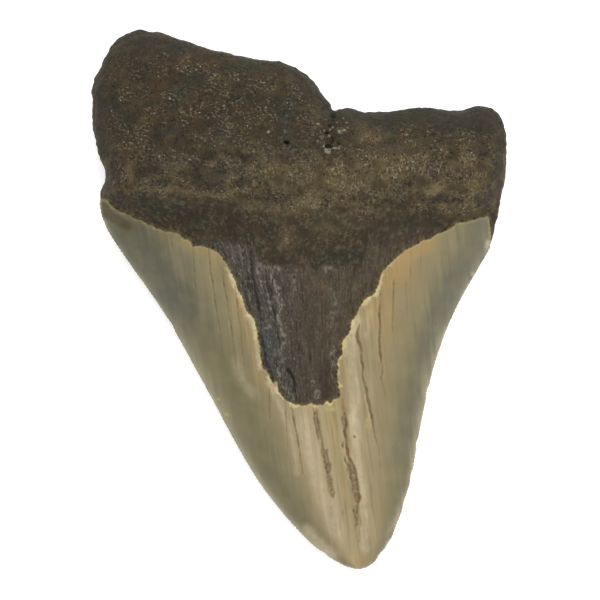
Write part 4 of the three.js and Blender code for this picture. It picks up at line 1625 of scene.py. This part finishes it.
class Ground:
    """What every finish of the tooth starts from: its places and the notes on its points."""

    def __init__(self, name: str, refraction: float, gloss: float) -> None:
        """Makes a material with its shader, and finds the place in millimetres.

        Args:
            name: The material's name.
            refraction: The index of refraction of what it is made of.
            gloss: The specular level: 0.5 is a clean polished face.
        """
        self.material = bpy.data.materials.new(name)
        self.material.use_nodes = True
        self.tree = self.material.node_tree
        self.shader = self.tree.nodes["Principled BSDF"]
        self.shader.inputs["IOR"].default_value = refraction
        self.shader.inputs["Specular IOR Level"].default_value = gloss
        coordinates = add_node(self.tree, "ShaderNodeTexCoord")
        self.place = add_node(self.tree, "ShaderNodeVectorMath", {
            0: coordinates.outputs["Object"], "Scale": 1.0 / MILLIMETRE,
        }, operation="SCALE").outputs["Vector"]

    def note(self, name: str, low: float = 0.0, high: float = 1.0) -> Socket:
        """How far a note kept on the points has climbed from low, 0, to high, 1."""
        kept = add_node(self.tree, "ShaderNodeAttribute", attribute_name=name)
        return add_node(self.tree, "ShaderNodeMapRange", {
            "Value": kept.outputs["Fac"], "From Min": low, "From Max": high,
        }, interpolation_type="SMOOTHSTEP").outputs["Result"]

    def lengthwise(self, name: str) -> Socket:
        """Lays the place along fibres or streaks.

        Args:
            name: The note that is kept on the points and runs across them.

        Returns:
            The place: that note, then the height in plan.
        """
        across, height = (
            add_node(self.tree, "ShaderNodeAttribute", attribute_name=kept).outputs["Fac"]
            for kept in (name, "height")
        )
        return add_node(
            self.tree, "ShaderNodeCombineXYZ", {"X": across, "Y": height}
        ).outputs["Vector"]

    def layered(self, base: object, layers: list[tuple]) -> Socket:
        """Lays colours over a base, one after the other.

        Args:
            base: The lowest colour, as sRGB hex or a socket.
            layers: Each a colour, as sRGB hex or a socket, its strength, and the shares that it is
                multiplied by.

        Returns:
            The finished colour.
        """
        colour = linear(base) if isinstance(base, str) else base
        for over, cover, *shares in layers:
            for share in shares:
                cover = add_node(self.tree, "ShaderNodeMath", {0: share, 1: cover},
                                 operation="MULTIPLY").outputs["Value"]
            mixed = add_node(self.tree, "ShaderNodeMix", {
                0: cover, 6: colour, 7: linear(over) if isinstance(over, str) else over,
            }, data_type="RGBA")
            colour = mixed.outputs[2]
        return colour

    def finish(
        self,
        colour: Socket,
        roughness: Pair,
        polish: Socket,
        depth: float,
    ) -> bpy.types.Material:
        """Links the colour, and makes the surface rougher and lower where the polish is lost.

        Args:
            colour: The finished colour.
            roughness: The roughness where the polish is gone and where it is whole.
            polish: How much of it is left, 0 to 1, or below 0 where the surface is etched.
            depth: How much lower the surface lies where it is gone.

        Returns:
            The material.
        """
        rough = add_node(self.tree, "ShaderNodeMapRange", {
            "Value": polish, "To Min": roughness[0], "To Max": roughness[1],
        }, clamp=False)
        bump = add_node(self.tree, "ShaderNodeBump", {
            "Height": polish, "Distance": depth * MILLIMETRE, "Strength": 1.0,
        })
        self.tree.links.new(colour, self.shader.inputs["Base Color"])
        self.tree.links.new(rough.outputs["Result"], self.shader.inputs["Roughness"])
        self.tree.links.new(bump.outputs["Normal"], self.shader.inputs["Normal"])
        return self.material


@dataclass(frozen=True)
class FossilBone:
    """Mineralised bone and dentine, worn by water and left unpolished.

    The eye gets a dull brown-black with rusty, olive and slate patches, pale grit packed into the
    pores, and long pale fibres where the crown's dentine lies bare. Some of its colour is painted
    light: shade in the low relief, the pits, the crease, the grooves and along the lobes' rims,
    light on the bone beside the enamel border, a highlight along the ridge, a sheen on the tongue.
    """

    refraction: float = 1.55
    gloss: float = 0.155
    roughness: Pair = (0.94, 0.76)
    tones: tuple = (
        (0.34, "#28271e"), (0.43, "#2b251b"), (0.5, "#2d2619"), (0.57, "#33291c"), (0.66, "#2c291b"),
    )
    patches: Pattern = Pattern(6.0, 0.0, 1.0, slide=3.0, detail=5.0)
    mottle: Pattern = Pattern(1.7, 0.42, 0.72, slide=11.0, detail=4.0)
    olive: Pattern = Pattern(2.6, 0.54, 0.7, slide=61.0, stretch=(1.6, 1.0, 1.0), detail=4.0)
    red: Pattern = Pattern(2.2, 0.56, 0.72, slide=67.0, stretch=(1.6, 1.0, 1.0), detail=4.0)
    lobe_grit: Pattern = Pattern(0.4, 0.53, 0.7, slide=5.0, stretch=(1.7, 1.0, 1.0), tilt=-14.0)
    neck_grit: Pattern = Pattern(0.38, 0.52, 0.7, slide=29.0, stretch=(1.0, 1.8, 1.0))
    pale_grit: Pattern = Pattern(0.55, 0.64, 0.76, slide=17.0, detail=1.0)
    blotches: Pattern = Pattern(2.4, 0.44, 0.66, slide=73.0, detail=3.0)
    pockets: Pattern = Pattern(1.3, 0.44, 0.28, slide=79.0, detail=3.0)
    spread: Pattern = Pattern(3.6, 0.38, 0.6, slide=23.0, detail=3.0)
    pinholes: Pattern = Pattern(0.5, 0.42, 0.3, slide=31.0, detail=1.0)
    # Real dentine has finer fibres: these are as coarse as they need to be to show.
    fibres: Pattern = Pattern(0.42, 0.46, 0.66, slide=7.0, stretch=(1.0, 6.0, 1.0), detail=4.0)
    furrows: Pattern = Pattern(0.6, 0.46, 0.3, slide=13.0, stretch=(1.0, 9.0, 1.0), detail=3.0)
    flecks: Pattern = Pattern(0.34, 0.54, 0.72, slide=53.0, stretch=(1.0, 2.4, 1.0), detail=3.0)
    gaps: Pattern = Pattern(0.4, 0.44, 0.3, slide=57.0, stretch=(1.0, 3.0, 1.0), detail=2.0)
    speckle: Pattern = Pattern(0.4, 0.44, 0.6, slide=19.0, stretch=(1.0, 2.4, 1.0), detail=3.0)
    smears: Pattern = Pattern(0.9, 0.48, 0.72, slide=37.0, stretch=(1.0, 1.5, 1.0), detail=3.0)
    pores: Pattern = Pattern(0.7, 0.3, 0.62, slide=43.0, detail=4.0)
    crumb_tones: Pattern = Pattern(0.6, 0.2, 0.55, slide=47.0)
    # Patches of the painted light on the bone beside the enamel border
    border_light_patches: Pattern = Pattern(0.8, 0.36, 0.6, slide=91.0, detail=4.0)
    pore_depth: float = 0.07

    def build(self) -> bpy.types.Material:
        """Makes the bone's material.

        Returns:
            The material.
        """
        ground = Ground("fossil_bone", self.refraction, self.gloss)
        tree, place = ground.tree, ground.place
        border_light = self.border_light_patches.share(tree, place)
        crumb_tones = self.crumb_tones.share(tree, place)
        worn = ground.layered(self.bone(ground), [
            (self.dentine(ground), 1.0, ground.note("dentine")),
            # Painted shade: darker where the fine relief is low, in the pits and the foramen, and in
            # the crease
            ("#0d0905", 0.8, ground.note("relief", -0.12, -0.75)),
            ("#060403", 0.9, ground.note("hollow", 0.35, 1.2)),
            ("#787260", 0.95, ground.note("crumb", 0.1, 0.26), crumb_tones),
            # Painted light: the bone beside the enamel border is lightened against the shade of the
            # enamel's step
            ("#71633f", 0.5, ground.note("into_enamel", -1.1, -0.15), border_light),
            ("#8b7c57", 0.5, ground.note("into_enamel", -0.26, -0.08)),
        ])
        polish = self.pores.share(tree, place)
        return ground.finish(worn, self.roughness, polish, self.pore_depth)

    def bone(self, ground: Ground) -> Socket:
        """Mixes the colour of the root and the neck.

        Args:
            ground: The bone's ground.

        Returns:
            The colour.
        """
        tree, place = ground.tree, ground.place
        patches = add_node(
            tree, "ShaderNodeValToRGB", {"Fac": self.patches.share(tree, place)}, stops=self.tones
        ).outputs["Color"]
        cover, spread = ground.note("grit_cover"), self.spread.share(tree, place)
        neck, tan, slate = ground.note("neck"), ground.note("tan"), ground.note("slate")
        below_lobes, rough = ground.note("below_lobes"), ground.note("smooth", 1.0, 0.0)
        neck_grit = self.neck_grit.share(tree, place)
        return ground.layered(patches, [
            ("#463b29", 0.4, self.mottle.share(tree, place)),
            ("#433e24", 0.45, self.olive.share(tree, place)),
            ("#432a1d", 0.24, self.red.share(tree, place), ground.note("below_lobes", 1.0, 0.0)),
            ("#2a2218", 0.2, neck),
            # The tan marks are stains, and along the ridge a painted highlight
            ("#54482e", 0.55, tan),
            ("#6b5f45", 0.6, ground.note("tan", 0.8, 1.5)),
            ("#432d1b", 0.4, ground.note("rusty")),
            ("#3d322b", 0.6, ground.note("plum")),
            ("#5a4d34", 0.56, self.blotches.share(tree, place), below_lobes, rough),
            ("#150f09", 0.68, self.pockets.share(tree, place), below_lobes, rough),
            ("#0f0a05", 0.7, self.pinholes.share(tree, place), rough),
            ("#6a5f4c", 0.5, neck_grit, below_lobes, rough, spread),
            ("#6a5f4e", 0.75, self.lobe_grit.share(tree, place), spread, cover),
            ("#7f7254", 0.75, tan, neck_grit, spread),
            ("#8b8272", 0.7, self.pale_grit.share(tree, place), spread, cover),
            ("#5f5544", 0.46, self.smears.share(tree, place), neck),
            # Slate stains, and painted shade along the rounded rims of the lobes
            ("#27261f", 0.55, slate),
            ("#241e18", 0.75, ground.note("dusky")),
        ])

    def dentine(self, ground: Ground) -> Socket:
        """Mixes the colour of the tongue, where fibres lie bare.

        Args:
            ground: The bone's ground.

        Returns:
            The colour.
        """
        tree = ground.tree
        along = ground.lengthwise("strand")
        left = ground.note("strand", 2.0, -6.0)
        flecks = self.flecks.share(tree, along)
        mottle = self.mottle.share(tree, ground.place)
        return ground.layered("#3e352a", [
            ("#363635", 0.5, left),
            ("#514a34", 0.5, mottle, ground.note("strand", 1.0, 5.0)),
            ("#140e07", 0.45, self.furrows.share(tree, along)),
            ("#140e07", 0.45, self.furrows.share(tree, along), left),
            ("#5c554a", 0.28, self.fibres.share(tree, along)),
            ("#5c554a", 0.3, self.fibres.share(tree, along), left),
            # Painted sheen, a blue-grey reflection
            ("#3c4144", 0.5, ground.note("sheen")),
            ("#5d4632", 0.6, ground.note("rusty")),
            ("#857d6b", 0.2, flecks),
            ("#8a857b", 0.3, flecks, left),
            ("#0c0804", 0.4, self.gaps.share(tree, along)),
            ("#2c231c", 0.65, ground.note("dusky")),
            ("#8f8a7d", 0.42, ground.note("frost", 0.1, 0.9), self.speckle.share(tree, along)),
            # Painted shade in the grooves
            ("#0b0806", 0.5, ground.note("groove", 0.3, 1.0)),
        ])


@dataclass(frozen=True)
class SharkEnamel:
    """Fossil enamel, worn to a satin gloss.

    The eye gets smooth grey-olive flanks, a tan to cream middle in faint lengthwise streaks, a
    pale chipped rim along the root, and cracks stained and filled with brown silt. Shade is partly
    painted into the grey flanks, and highlights into the cream streak, along the cutting edges and
    on one side of each crack.
    """

    refraction: float = 1.63
    gloss: float = 0.28
    roughness: Pair = (0.5, 0.36)
    upper_tones: tuple = (
        (0.0, "#52503a"), (0.06, "#454331"), (0.1, "#4e4a36"), (0.145, "#635c44"), (0.22, "#746a49"),
        (0.4, "#7c6d47"), (0.62, "#978559"), (0.71, "#87744d"), (0.79, "#7a6c4d"), (0.87, "#746a4b"),
        (0.92, "#5d5943"), (0.96, "#5c5844"), (1.0, "#65614c"),
    )
    lower_tones: tuple = (
        (0.0, "#7a7353"), (0.06, "#635c3e"), (0.13, "#5e5739"), (0.21, "#6d6344"), (0.3, "#867857"),
        (0.4, "#998969"), (0.5, "#877954"), (0.59, "#857450"), (0.66, "#877a58"), (0.74, "#7d704f"),
        (0.85, "#6c6344"), (0.94, "#5f573d"), (1.0, "#7b7353"),
    )
    streaks: Pattern = Pattern(1.1, 0.4, 0.62, slide=2.0, stretch=(1.0, 14.0, 1.0))
    pale_streaks: Pattern = Pattern(0.8, 0.5, 0.68, slide=39.0, stretch=(1.0, 18.0, 1.0))
    hairlines: Pattern = Pattern(0.42, 0.6, 0.72, slide=9.0, stretch=(1.0, 16.0, 1.0))
    clouds: Pattern = Pattern(4.0, 0.35, 0.68, slide=15.0, detail=3.0)
    flakes: Pattern = Pattern(1.1, 0.25, 0.75, slide=21.0, detail=4.0)
    rim_flakes: Pattern = Pattern(1.6, 0.38, 0.62, slide=87.0, detail=5.0)
    silt: Pattern = Pattern(0.7, 0.42, 0.64, slide=27.0)
    pale_silt: Pattern = Pattern(0.7, 0.5, 0.68, slide=45.0)
    waver: Pattern = Pattern(0.8, 0.25, 0.75, slide=33.0, detail=3.0)
    streak_depth: float = 0.02
    etching: float = -3.5  # where the enamel is dun, its polish is lost far beyond the streaks
    tone_drift: Pair = (0.03, -0.015)  # the streaks shift the tones by this
    lower_heights: Pair = (1.0, -14.0)
    rim_reach: float = -1.2
    rim_strip: Pair = (-0.12, -0.75)
    rim_heights: Pair = (10.0, 3.0)
    crack_waver: Pair = (0.26, -0.13)
    crack_edge: Pair = (0.12, -0.08)
    stain_edge: Pair = (0.55, 0.0)
    stained_cracks: Pair = (0.45, 0.95)

    def build(self) -> bpy.types.Material:
        """Makes the enamel's material.

        Returns:
            The material.
        """
        ground = Ground("shark_enamel", self.refraction, self.gloss)
        tree, place = ground.tree, ground.place
        streaks_place = ground.lengthwise("streak")
        streaks = self.streaks.share(tree, streaks_place)
        flakes = self.flakes.share(tree, place)
        clouds = self.clouds.share(tree, place)
        worn = ground.note("worn_middle")
        rim = self.flaked_rim(ground)
        in_crack, halo = self.crack_shares(ground)
        silt = ground.note("silt", 0.2, 0.8)
        enamel = ground.layered(self.tones(ground, streaks), [
            # Grey stains, partly painted shade on the flanks
            ("#4f4d42", 0.42, ground.note("grey")),
            ("#4a4228", 0.75, ground.note("dun")),
            ("#2a2206", 0.45, ground.note("dun", 0.3, 1.0)),
            ("#99793a", 0.5, ground.note("amber")),
            # Cream stains, partly a painted highlight
            ("#a4967a", 0.5, ground.note("cream")),
            ("#b9ab8e", 0.6, ground.note("cream", 0.9, 1.7)),
            ("#b3a584", 0.4, ground.note("cream"), self.flakes.share(tree, streaks_place)),
            ("#4d452f", 0.2, streaks, worn),
            ("#aa9b75", 0.16, self.pale_streaks.share(tree, streaks_place), worn),
            ("#958869", 0.1, clouds),
            ("#5c4c30", 0.28, self.hairlines.share(tree, streaks_place), worn),
            ("#a49656", 0.62, ground.note("ochre", 0.25, 1.0), flakes),
            ("#958e5c", 0.35, ground.note("into_enamel", 0.55, 0.1), flakes),
            ("#bdb08c", 0.62, rim),
            ("#a98f58", 0.6, rim, streaks),
            ("#a5984f", 0.4, rim, clouds),
            ("#a87d56", 0.5, ground.note("peach"), flakes),
            # Painted highlight on the lit side of each crack
            ("#b0a582", 0.36, ground.note("crack_highlight", 0.1, 0.7)),
            ("#6a5433", 0.45, halo),
            ("#75643f", 0.85, silt),
            ("#463319", 0.82, in_crack),
            ("#716040", 0.4, silt),
            ("#4f3d24", 0.55, silt, self.silt.share(tree, place)),
            ("#a3956f", 0.28, silt, self.pale_silt.share(tree, place)),
            ("#664a21", 0.78, ground.note("rust", 0.2, 0.8)),
            # Painted highlight in patches along the cutting edges
            ("#938d69", 0.6, ground.note("from_edge", 0.7, 0.1), clouds),
        ])
        polish = add_node(tree, "ShaderNodeMath", {
            0: ground.note("dun", 0.2, 0.9), 1: self.etching, 2: streaks,
        }, operation="MULTIPLY_ADD").outputs["Value"]
        return ground.finish(enamel, self.roughness, polish, self.streak_depth)

    def tones(self, ground: Ground, streaks: Socket) -> Socket:
        """Mixes the colour from one cutting edge to the other, near the root and near the tip.

        Args:
            ground: The enamel's ground.
            streaks: The share of the streaks.

        Returns:
            The colour.
        """
        tree = ground.tree
        kept = add_node(tree, "ShaderNodeAttribute", attribute_name="across").outputs["Fac"]
        scale, shift = self.tone_drift
        drift = add_node(tree, "ShaderNodeMath", {0: streaks, 1: scale, 2: shift},
                         operation="MULTIPLY_ADD").outputs["Value"]
        across = add_node(tree, "ShaderNodeMath", {0: kept, 1: drift}).outputs["Value"]
        upper, lower = (
            add_node(tree, "ShaderNodeValToRGB", {"Fac": across}, stops=tones).outputs["Color"]
            for tones in (self.upper_tones, self.lower_tones)
        )
        return ground.layered(upper, [(lower, 1.0, ground.note("height", *self.lower_heights))])

    def flaked_rim(self, ground: Ground) -> Socket:
        """Finds where the enamel has flaked pale along the bare dentine, in an uneven strip.

        Args:
            ground: The enamel's ground.

        Returns:
            The share of the flaked strip.
        """
        tree = ground.tree
        into = add_node(tree, "ShaderNodeAttribute", attribute_name="into_enamel").outputs["Fac"]
        flakes = self.rim_flakes.share(tree, ground.place)
        reach = add_node(tree, "ShaderNodeMath", {0: flakes, 1: self.rim_reach, 2: into},
                         operation="MULTIPLY_ADD").outputs["Value"]
        strip = add_node(tree, "ShaderNodeMapRange", {
            "Value": reach, "From Min": self.rim_strip[0], "From Max": self.rim_strip[1],
        }, interpolation_type="SMOOTHSTEP").outputs["Result"]
        beside_tongue = ground.note("height", *self.rim_heights)
        return add_node(tree, "ShaderNodeMath", {0: strip, 1: beside_tongue},
                        operation="MULTIPLY").outputs["Value"]

    def crack_shares(self, ground: Ground) -> tuple[Socket, Socket]:
        """Finds where the dark cracks and the stain beside them show.

        Args:
            ground: The enamel's ground.

        Returns:
            The shares of the cracks and of the stain.
        """
        tree = ground.tree
        reach, half, darkness = (
            add_node(tree, "ShaderNodeAttribute", attribute_name=name).outputs["Fac"]
            for name in ("from_crack", "half_crack", "crack_darkness")
        )
        scale, shift = self.crack_waver
        swing = add_node(tree, "ShaderNodeMath", {
            0: self.waver.share(tree, ground.place), 1: scale, 2: shift,
        }, operation="MULTIPLY_ADD").outputs["Value"]
        wavering = add_node(tree, "ShaderNodeMath", {0: reach, 1: swing}).outputs["Value"]
        beyond = add_node(tree, "ShaderNodeMath", {0: wavering, 1: half},
                          operation="SUBTRACT").outputs["Value"]
        shares = []
        stained = ground.note("crack_darkness", *self.stained_cracks)
        for (low, high), strength in ((self.crack_edge, darkness), (self.stain_edge, stained)):
            near = add_node(tree, "ShaderNodeMapRange", {
                "Value": beyond, "From Min": low, "From Max": high,
            }, interpolation_type="SMOOTHSTEP").outputs["Result"]
            shares.append(add_node(tree, "ShaderNodeMath", {0: near, 1: strength},
                                   operation="MULTIPLY").outputs["Value"])
        return shares[0], shares[1]


# The studio


@dataclass(frozen=True)
class Studio:
    """A pale table under soft light, with the camera straight above the tooth."""

    camera_place: tuple[float, float, float] = (0.15, 0.12, 900.0)
    focus_height: float = 7.0
    sensor_width: float = 36.0
    farthest: float = 10000.0
    table_size: float = 3000.0
    table_colour: str = "#fbfbfa"
    table_roughness: float = 0.9
    table_gloss: float = 0.1
    glow: float = 0.3  # the table is lit from below a little, which softens the shadow
    softbox_sides: Pair = (1200.0, 900.0)
    softbox_place: tuple[float, float, float] = (250.0, 550.0, 1100.0)
    softbox_watts: float = 9.0
    room_strength: float = 1.05

    def build(self) -> None:
        """Makes the table, the lights and the camera."""
        self.lay_floor()
        self.hang_lights()
        self.place_camera()

    def lay_floor(self) -> None:
        """Lays the white light table that the tooth rests on."""
        half = self.table_size * MILLIMETRE / 2
        corners = [(-half, -half, 0), (half, -half, 0), (half, half, 0), (-half, half, 0)]
        mesh = bpy.data.meshes.new("table_top")
        mesh.from_pydata(corners, [], [(0, 1, 2, 3)])
        floor = bpy.data.objects.new("table_top", mesh)
        bpy.context.scene.collection.objects.link(floor)
        material = bpy.data.materials.new("opal_acrylic")
        material.use_nodes = True
        shader = material.node_tree.nodes["Principled BSDF"]
        shader.inputs["Base Color"].default_value = linear(self.table_colour)
        shader.inputs["Emission Color"].default_value = linear("#ffffff")
        shader.inputs["Emission Strength"].default_value = self.glow
        shader.inputs["Roughness"].default_value = self.table_roughness
        shader.inputs["Specular IOR Level"].default_value = self.table_gloss
        mesh.materials.append(material)

    def hang_lights(self) -> None:
        """Hangs a large softbox on the root's side, in an even white room."""
        light = bpy.data.lights.new("softbox", "AREA")
        light.shape = "RECTANGLE"
        light.size, light.size_y = (side * MILLIMETRE for side in self.softbox_sides)
        light.energy = self.softbox_watts
        softbox = bpy.data.objects.new("softbox", light)
        softbox.location = Vector(self.softbox_place) * MILLIMETRE
        softbox.rotation_euler = (-softbox.location).to_track_quat("-Z", "Y").to_euler()
        bpy.context.scene.collection.objects.link(softbox)
        world = bpy.data.worlds.new("white_room")
        world.use_nodes = True
        background = world.node_tree.nodes["Background"]
        background.inputs["Color"].default_value = linear("#ffffff")
        background.inputs["Strength"].default_value = self.room_strength
        bpy.context.scene.world = world

    def place_camera(self) -> None:
        """Stands the camera over the tooth, so that a pixel is as wide as in the photograph."""
        camera = bpy.data.cameras.new("overhead")
        camera.sensor_width = self.sensor_width
        seen_width = PHOTO_PIXELS * MILLIMETRES_PER_PIXEL
        camera.lens = self.sensor_width * (self.camera_place[2] - self.focus_height) / seen_width
        camera.clip_end = self.farthest * MILLIMETRE
        stand = bpy.data.objects.new("overhead", camera)
        stand.location = Vector(self.camera_place) * MILLIMETRE
        bpy.context.scene.collection.objects.link(stand)
        bpy.context.scene.camera = stand
        bpy.context.scene.view_settings.view_transform = "Standard"


def main() -> None:
    """Builds the tooth and its studio, hangs the tooth on the root's body, hides the imported part
    and logs its triangles.
    """
    logging.basicConfig(level=logging.INFO, format="%(name)s: %(message)s")
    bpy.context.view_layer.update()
    tooth = FossilTooth().build()
    tooth.data.materials.append(FossilBone().build())
    tooth.data.materials.append(SharkEnamel().build())
    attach(tooth, "root")
    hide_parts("tooth")
    log.info("fossil_tooth: %d triangles", len(tooth.data.polygons))
    Studio().build()


if __name__ == "__main__":
    main()
